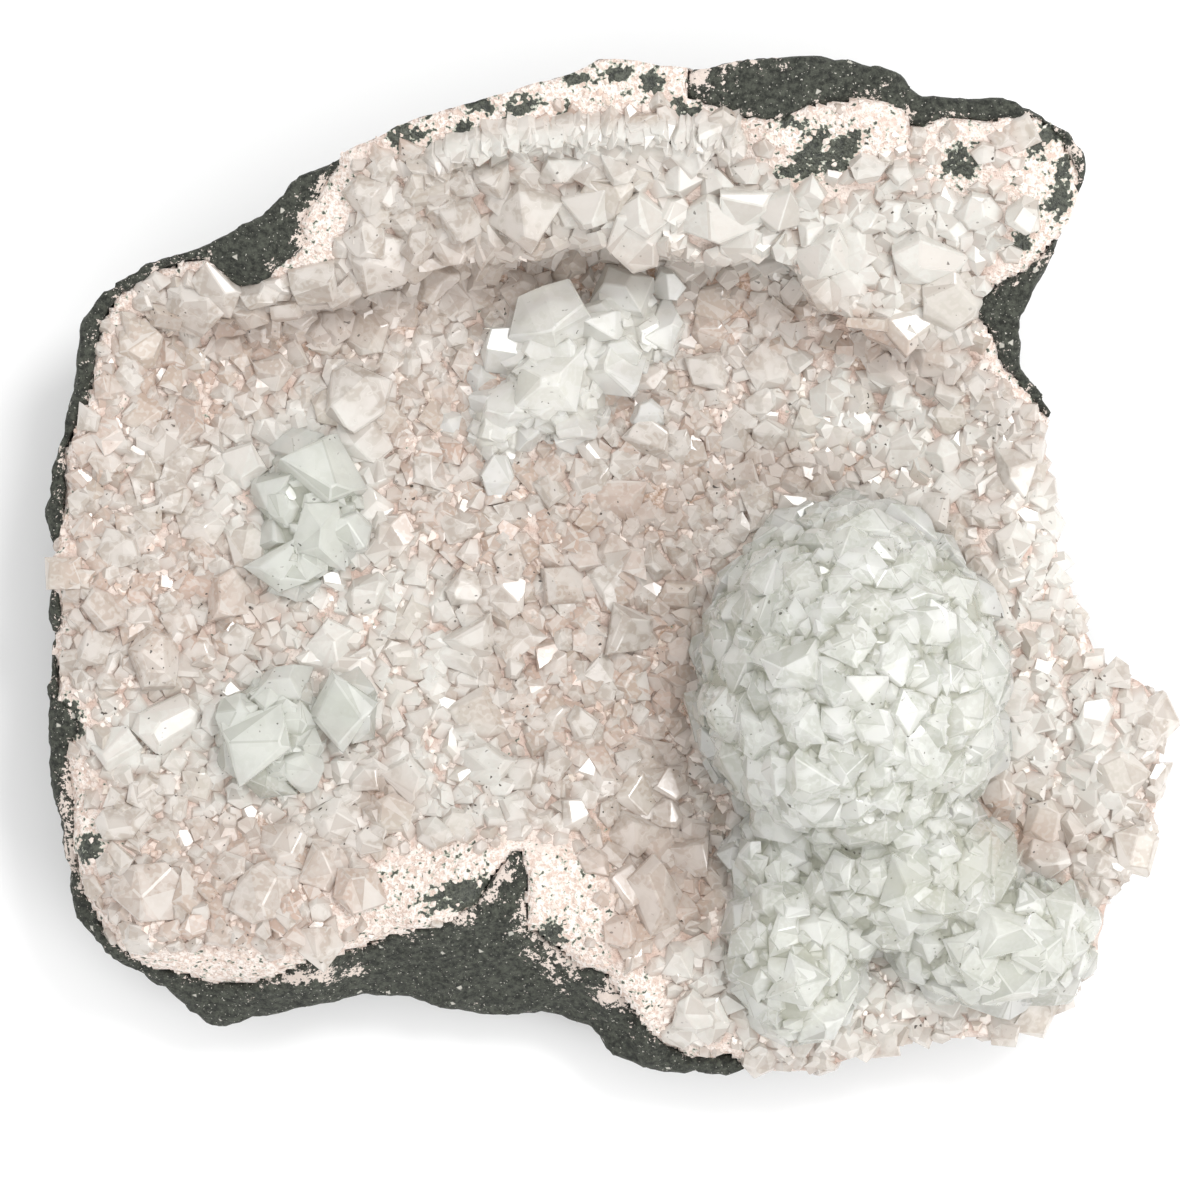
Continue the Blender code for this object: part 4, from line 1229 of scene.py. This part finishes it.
    def mark(
        self, mesh: bpy.types.Mesh, points: np.ndarray, count: int, edge: np.ndarray, to_crust: np.ndarray
    ) -> None:
        """Stores the stains, and where and how large crystals grow.

        Args:
            mesh: the bed's mesh.
            points: its points.
            count: how many of them are on top.
            edge: how far each is from the bed's edge.
            to_crust: how far each is from the crust's outline.
        """
        places = points[:, :2] + 2.0 * np.column_stack((grain_of(points, 9.0), grain_of(points + 50, 9.0)))
        stains = {stain: stained(places, stain) for stain in Stain}
        stains[Stain.CHALK] = np.maximum(stains[Stain.CHALK], 0.9 * (1 - smooth_step(to_crust, 3, 9)))
        for stain, values in stains.items():
            set_attribute(mesh, stain.value, values)
        chalk = stains[Stain.CHALK]
        on_top = np.arange(len(points)) < count
        cover = on_top * smooth_step(edge, 0.5, 2.5) * (1 - stains[Stain.ROCK])
        cover *= 1 - self.under_clusters(points)
        past_lip = points[:, 1] - self.ground.lip_y(points[:, 0])
        wall = smooth_step(past_lip, -4, 0) * (1 - smooth_step(past_lip, 22, 30))
        patches = smooth_step(grain_of(points + 90, self.patch_size), 0.06, 0.2) * (1 - wall)
        clear = 1 - self.under_named(points)
        open_cover = cover * (1 - 0.97 * chalk) * clear
        set_attribute(mesh, "grain_cover", cover * clear * np.maximum(0.8 * patches, 0.35 * chalk))
        set_attribute(mesh, "open_cover", open_cover)
        set_attribute(mesh, "large_cover", open_cover * (1 - 0.95 * patches))
        set_attribute(mesh, "vigour", (1 - 0.45 * chalk) * (1 + 0.2 * wall))

    @staticmethod
    def under_clusters(points: np.ndarray) -> np.ndarray:
        """1 where a cluster covers the crust, and 0 clear of them."""
        covered = np.zeros(len(points))
        for x, y, half_x, half_y, _ in GREEN_LOBES + WHITE_LOBES + RIDGE_LOBES + ROUND_LOBES:
            reach = np.hypot((points[:, 0] - x) / half_x, (points[:, 1] - y) / half_y)
            covered = np.maximum(covered, 1 - smooth_step(reach, 0.84, 0.92))
        return covered

    @staticmethod
    def under_named(points: np.ndarray) -> np.ndarray:
        """1 under the crystals that are placed one by one, and 0 clear of them."""
        covered = np.zeros(len(points))
        for x, y, radius, _, _ in CRUST_CRYSTALS + WALL_CRYSTALS:
            reach = np.hypot(points[:, 0] - x, points[:, 1] - y) / radius
            covered = np.maximum(covered, 1 - smooth_step(reach, 0.6, 0.8))
        return covered

    def named(self) -> NamedCrystals:
        """The crystals that stand out on the crust and along the wall.

        Returns:
            The crystals.
        """
        made = NamedCrystals("druse_standing", seed=21)
        for x, y, radius, rise, pointed in CRUST_CRYSTALS:
            foot, out = self.ground.stand(x, y)
            made.add(foot, made.leaning(out, self.lean), radius, rise, pointed, made.chance.uniform(0.3, 1))
        for x, y, radius, rise, pointed in WALL_CRYSTALS:
            foot, out = self.ground.stand(x, y)
            axis = made.leaning(out + Vector((0, -2 * self.lean, 0)), 0.25)
            made.add(foot, axis, radius, rise, pointed, made.chance.uniform(0.4, 1))
        self.columns(made)
        return made

    def columns(self, made: NamedCrystals) -> None:
        """Adds the row of columns along the rim, which point into the hollow.

        Args:
            made: the crystals that they join.
        """
        route = np.array(COLUMN_ROUTE, float)
        for narrow, wide, gap, reach in ((4.0, 5.5, 0.7, 6.5), (2.8, 4.2, 0.62, 8.0)):
            x = route[0, 0]
            while x < route[-1, 0]:
                y = float(np.interp(x, route[:, 0], route[:, 1])) + made.chance.uniform(-1, 1)
                foot, out = self.ground.stand(x, y + 1.5)
                axis = made.leaning(out * 0.8 + Vector((0, -1, 0)), 0.12)
                radius = made.chance.uniform(narrow, wide)
                rise = reach * made.chance.uniform(0.8, 1.15)
                made.add(foot, axis, radius, rise, False, made.chance.uniform(0.55, 1))
                x += radius * gap

    def build(self, shelves: dict[str, Shelf]) -> list[bpy.types.Object]:
        """Builds the bed and grows the crystals over it.

        Args:
            shelves: the crystals to pick from.

        Returns:
            The pieces.
        """
        finish = GrownCrystal("druse_crystal_pink_white", "#cac0b5", "#e8e2db", transmission=0.34).material()
        bed = self.bed()
        growths = (
            Growth(shelves["chip"], 4.6, 2.6, 3.8, 0.5, 4, "open_cover"),
            Growth(shelves["blocky"], 6.8, 4.2, 6.4, 0.36, 5, "open_cover"),
            Growth(shelves["large"], 11.0, 6.4, 10.5, 0.26, 8, "large_cover"),
        )
        skin = self.grower.grow("druse_crystals", bed, self.named().collection, growths, finish)
        sugar = GrownCrystal(
            "druse_sugar_pink_white", "#dccfc6", "#ece3dc", crevice_shade_and_rust="#d2c0b5", transmission=0.0
        ).material()
        grains = (Growth(shelves["grain"], 2.3, 0.9, 1.7, 0.6, 3, "grain_cover"),)
        return [bed, skin, Grower(1, fused=False).grow("druse_grains", bed, None, grains, sugar)]


@dataclass(frozen=True)
class MilkyCore:
    """The cloudy mass that a cluster's crystals grow out of, seen through them: dull, tinted."""

    name: str
    cloudy: str
    deep: str

    def material(self) -> bpy.types.Material:
        """Makes the material.

        Returns:
            The material.
        """
        brush = Brush(self.name)
        mottle = brush.ramp(brush.cloud(11, 2, 0.6), 0.38, 0.62)
        brush.wear(Base_Color=brush.mix(mottle, self.cloudy, self.deep), Roughness=0.6, IOR=1.5)
        return brush.material


@dataclass
class Cluster:
    """Apophyllite crystals grown together over one or more lobes."""

    name: str
    ground: Ground
    grower: Grower
    lobes: tuple
    blocks: tuple
    growths: tuple[Growth, ...]
    finish: GrownCrystal
    core: MilkyCore
    plain: Habit = Habit.BLOCKY
    voxel: float = 2.8
    rooted: float = 7.0
    lump_height: float = 2.4
    core_depth: float = 2.6

    def lobe_frame(self, lobe: tuple) -> tuple[Vector, Vector]:
        """A lobe's centre, which lies just under the ground, and its half sizes.

        Args:
            lobe: its x, y, half width, half depth and the height of its top.

        Returns:
            The centre and the half sizes.
        """
        x, y, half_x, half_y, top = lobe
        base = self.ground.stand(x, y)[0].z - 2
        return Vector((x, y, base)), Vector((half_x, half_y, top - base))

    def body(self, finish: bpy.types.Material) -> bpy.types.Object:
        """The lumpy mass that the crystals grow on, closed and rooted in the crust.

        Args:
            finish: its material.

        Returns:
            The body, with where crystals grow as attributes.
        """
        shape = bmesh.new()
        for lobe in self.lobes:
            centre, half = self.lobe_frame(lobe)
            ball = bmesh.ops.create_icosphere(shape, subdivisions=4, radius=1.0)["verts"]
            for vert in ball:
                unit = vert.co.copy()
                depth = half.z if unit.z > 0 else self.rooted
                vert.co = (centre + Vector((unit.x * half.x, unit.y * half.y, unit.z * depth))) * MM
        mesh = bpy.data.meshes.new(self.name + "_body")
        shape.to_mesh(mesh)
        shape.free()
        rough = mesh_object(self.name + "_rough", mesh, finish)
        step = rough.modifiers.new("grown_together", "REMESH")
        step.mode = "VOXEL"
        step.voxel_size = self.voxel * MM
        made = evaluated_mesh(rough)
        bpy.data.objects.remove(rough)
        points = points_of(made)
        away = np.array([vert.normal for vert in made.vertices])
        lumps = self.lump_height * grain_of(points, 19.0) + 0.9 * grain_of(points, 8.0)
        points += away * lumps[:, None]
        move_points(made, points)
        clear = points[:, 2] - self.ground.heights(points[:, :2])
        set_attribute(made, "cover", smooth_step(clear, -1.0, 1.5))
        set_attribute(made, "vigour", np.full(len(points), 1.0))
        made.shade_smooth()
        return mesh_object(self.name + "_body", made, finish)

    def large(self) -> NamedCrystals:
        """The cluster's large crystals.

        Returns:
            The crystals.
        """
        made = NamedCrystals(self.name + "_standing", len(self.name), self.plain)
        for x, y, radius, rise, pointed in self.blocks:
            foot, out = self.ground.stand(x, y)
            for lobe in self.lobes:
                centre, half = self.lobe_frame(lobe)
                reach = ((x - centre.x) / half.x) ** 2 + ((y - centre.y) / half.y) ** 2
                height = centre.z + half.z * math.sqrt(max(0.0, 1 - reach))
                if reach < 1 and height > foot.z:
                    foot.z = height
                    across = foot - centre
                    out = Vector((across.x / half.x**2, across.y / half.y**2, across.z / half.z**2))
            made.add(foot, made.leaning(out.normalized(), 0.2), radius, rise, pointed, 1.0)
        return made

    def build(self) -> list[bpy.types.Object]:
        """Builds the cluster.

        Returns:
            The pieces.
        """
        finish = self.finish.material()
        body = self.body(finish)
        skin = self.grower.grow(
            self.name + "_crystals", body, self.large().collection, self.growths, finish
        )
        core = mesh_object(self.name + "_core", body.data, self.core.material())
        bpy.data.objects.remove(body)
        away = np.array([vert.normal for vert in core.data.vertices])
        move_points(core.data, points_of(core.data) - self.core_depth * away)
        return [core, skin]


@dataclass
class BasaltRind:
    """The rind of broken basalt, from its CAD solid, with a broken surface on it."""

    node: bpy.types.Object
    voxel: float = 2.4
    base_zone: float = 5.0
    bulge_height: float = 60.0
    bulge: float = 1 / 1440

    def build(self) -> bpy.types.Object:
        """Builds the rind, whose sides bulge a little between the cut face and the rim.

        Returns:
            The piece.
        """
        shape = bmesh.new()
        shape.from_mesh(self.node.data)
        bmesh.ops.remove_doubles(shape, verts=shape.verts, dist=0.00001)
        mesh = bpy.data.meshes.new("basalt_rough")
        shape.to_mesh(mesh)
        shape.free()
        finish = BrokenBasalt().material()
        rough = mesh_object("basalt_rough", mesh, finish)
        step = rough.modifiers.new("broken", "REMESH")
        step.mode = "VOXEL"
        step.voxel_size = self.voxel * MM
        made = evaluated_mesh(rough)
        bpy.data.objects.remove(rough)
        points = points_of(made)
        away = np.array([vert.normal for vert in made.vertices])
        relief = 1.2 * grain_of(points, 13.0) + 0.9 * grain_of(points, 5.5) + 0.5 * grain_of(points, 2.6)
        free = smooth_step(points[:, 2], 0.4, self.base_zone)
        points += away * (relief * free)[:, None]
        points[:, 2] = np.maximum(points[:, 2], 0)
        to_crust, _ = margin(points[:, :2], np.array(CRUST_OUTLINE, float))
        below = self.bulge * np.clip(self.bulge_height - points[:, 2], 0, None)
        below *= smooth_step(points[:, 2], 2, 14) * smooth_step(-to_crust, 1, 7)
        points[:, :2] *= 1 + below[:, None]
        move_points(made, points)
        near = 1 - smooth_step(-to_crust, 1.0, 7.0)
        high = smooth_step(points[:, 2], 30, 45)
        chalk = np.maximum(0.2 * near, 0.36 * stained(points[:, :2], Stain.CHALK)) * high
        chalk *= smooth_step(away[:, 2], -0.2, 0.3)
        set_attribute(made, Stain.CHALK.value, chalk)
        made.shade_smooth()
        return mesh_object("basalt_rind", made, finish)


@dataclass
class Studio:
    """A pale floor, soft light from the upper right and a camera straight above the stone."""

    middle_x: float = -2.275
    middle_y: float = -9.1
    view_width: float = 420.0
    sharp_height: float = 60.0
    camera_height: float = 1500.0
    sensor: float = 36.0
    floor_size: float = 6000.0

    def floor(self) -> None:
        """A plain white floor, which isn't part of the stone."""
        shape = bmesh.new()
        bmesh.ops.create_grid(shape, x_segments=1, y_segments=1, size=self.floor_size / 2 * MM)
        mesh = bpy.data.meshes.new("studio_floor")
        shape.to_mesh(mesh)
        shape.free()
        brush = Brush("paper_white_matt")
        brush.wear(Base_Color=linear("#f4f4f4"), Roughness=0.9)
        mesh_object("studio_floor", mesh, brush.material)

    def lights(self) -> None:
        """A broad soft key from the upper right, a fill from the lower right and an even sky."""
        for name, size, energy, place in (
            ("key", 0.6, 12, Vector((0.66, 0.74, 1.5))), ("fill", 0.9, 8, Vector((1.0, -0.8, 1.0))),
        ):
            lamp = bpy.data.lights.new(name, "AREA")
            lamp.shape = "DISK"
            lamp.size = size
            lamp.energy = energy
            light = bpy.data.objects.new(name, lamp)
            light.location = place
            light.rotation_euler = (-place).to_track_quat("-Z", "Y").to_euler()
            bpy.context.scene.collection.objects.link(light)
        world = bpy.data.worlds.new("sky")
        world.use_nodes = True
        world.node_tree.nodes["Background"].inputs["Color"].default_value = (1, 1, 1, 1)
        world.node_tree.nodes["Background"].inputs["Strength"].default_value = 1.08
        bpy.context.scene.world = world
        bpy.context.scene.view_settings.view_transform = "Standard"

    def camera(self) -> None:
        """The camera, looking straight down."""
        lens = bpy.data.cameras.new("camera")
        lens.sensor_width = self.sensor
        lens.lens = self.sensor * (self.camera_height - self.sharp_height) / self.view_width
        camera = bpy.data.objects.new("camera", lens)
        camera.location = Vector((self.middle_x, self.middle_y, self.camera_height)) * MM
        bpy.context.scene.collection.objects.link(camera)
        bpy.context.scene.camera = camera

    def build(self) -> None:
        """Builds the studio."""
        self.floor()
        self.lights()
        self.camera()


def deliver(pieces: list[bpy.types.Object], node: str) -> None:
    """Hands pieces over as what stands for a CAD node.

    Args:
        pieces: the pieces.
        node: the node.
    """
    for piece in pieces:
        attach(piece, "root")
        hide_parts(node)
        triangles = sum(len(face.vertices) - 2 for face in piece.data.polygons)
        log.info("%s: %d triangles", piece.name, triangles)


def clear_away() -> None:
    """Removes the hidden crystals that the growth picked from."""
    for collection in list(bpy.data.collections):
        if collection.users and bpy.context.scene.collection.children.get(collection.name):
            continue
        for crystal in list(collection.objects):
            bpy.data.objects.remove(crystal)
        bpy.data.collections.remove(collection)


def main() -> None:
    """Builds every piece of the geode and the studio around it."""
    logging.basicConfig(level=logging.INFO, format="%(message)s")
    ground = Ground(FittedSurface(FLOOR_HEIGHTS), FittedSurface(RIM_HEIGHTS))
    grower, sealer = Grower(3), Grower(3, sealed=True)
    shelves = {
        "grain": Shelf(Habit.GRAIN, 10, 31),
        "chip": Shelf(Habit.CHIP, 20, 30),
        "blocky": Shelf(Habit.BLOCKY, 20, 32),
        "large": Shelf(Habit.BLOCKY, 20, 34, bevel=0.035),
        "pyramid": Shelf(Habit.PYRAMID, 20, 36),
        "pyramid_large": Shelf(Habit.PYRAMID, 20, 37, bevel=0.035),
        "slab": Shelf(Habit.SLAB, 16, 33, bevel=0.035),
        "tablet": Shelf(Habit.TABLET, 16, 38, bevel=0.035),
        "spear": Shelf(Habit.POINTED, 12, 35, bevel=0.035),
    }
    deliver([BasaltRind(frame["nodes"]["basalt_matrix"]).build()], "basalt_matrix")
    deliver(CrystalCrust(ground, grower).build(shelves), "crystal_crust")
    green = GrownCrystal(
        "apophyllite_pale_green", "#e6e8e0", "#fefefc", deep="#dadad0", crevice_shade_and_rust="#c5c5b1", shade="#c4c6bd",
        transmission=0.58, veil=7.0,
    )
    white = GrownCrystal(
        "apophyllite_white", "#f5f4ee", "#fffffc", "#faf8f3", "#fafaf6", "#f1f0e9", "#ebe7de", "#dcdcd4",
        transmission=0.5, veil=7.0,
    )
    grey = GrownCrystal(
        "apophyllite_grey_green", "#d3d4cb", "#eeefea", deep="#cbcbbf", crevice_shade_and_rust="#c3c3b3", shade="#b9bcb0",
        transmission=0.52, veil=6.0,
    )
    green_core = MilkyCore("apophyllite_core_green", "#e8e8e2", "#cfcfbd")
    white_core = MilkyCore("apophyllite_core_white", "#fbf9f2", "#eeebe2")
    grey_core = MilkyCore("apophyllite_core_grey_green", "#e8e9e1", "#cfd1c4")
    fine, wide = Growth(shelves["pyramid"], 5.0, 2.6, 4.2, 0.5, 41), shelves["pyramid_large"]
    for name, lobes, blocks, finish, core, slot, plain, growths in (
        (
            "green", GREEN_LOBES, GREEN_BLOCKS, green, green_core, "green_apophyllite", Habit.PYRAMID,
            (fine, Growth(wide, 10.5, 6.5, 11.5, 0.32, 42), Growth(shelves["slab"], 9.8, 5.5, 9.5, 0.3, 43)),
        ),
        (
            "white", WHITE_LOBES, WHITE_BLOCKS, white, white_core, "white_apophyllite", Habit.TABLET,
            (
                Growth(shelves["blocky"], 4.8, 2.6, 4.2, 0.5, 51),
                Growth(shelves["tablet"], 9.0, 5.5, 8.5, 0.3, 52),
                Growth(shelves["spear"], 14.0, 3.5, 6.0, 0.35, 53),
            ),
        ),
        (
            "ridge", RIDGE_LOBES, RIDGE_BLOCKS, grey, grey_core, "grey_green_apophyllite", Habit.BLOCKY,
            (
                Growth(shelves["blocky"], 6.0, 3.4, 5.4, 0.4, 61),
                Growth(shelves["large"], 10.5, 6.0, 9.0, 0.3, 62),
                Growth(shelves["spear"], 14.0, 3.5, 5.5, 0.35, 63),
            ),
        ),
        (
            "round", ROUND_LOBES, ROUND_BLOCKS, grey, grey_core, "grey_green_apophyllite", Habit.BLOCKY,
            (
                Growth(shelves["blocky"], 6.0, 3.4, 5.4, 0.4, 71),
                Growth(wide, 10.0, 6.0, 9.0, 0.3, 72),
                Growth(shelves["spear"], 14.0, 3.5, 5.5, 0.35, 73),
            ),
        ),
    ):
        cluster = Cluster(
            name + "_apophyllite", ground, sealer, lobes, blocks, growths, finish, core, plain
        )
        deliver(cluster.build(), name + "_apophyllite_cluster")
    clear_away()
    Studio().build()


if __name__ == "__main__":
    main()
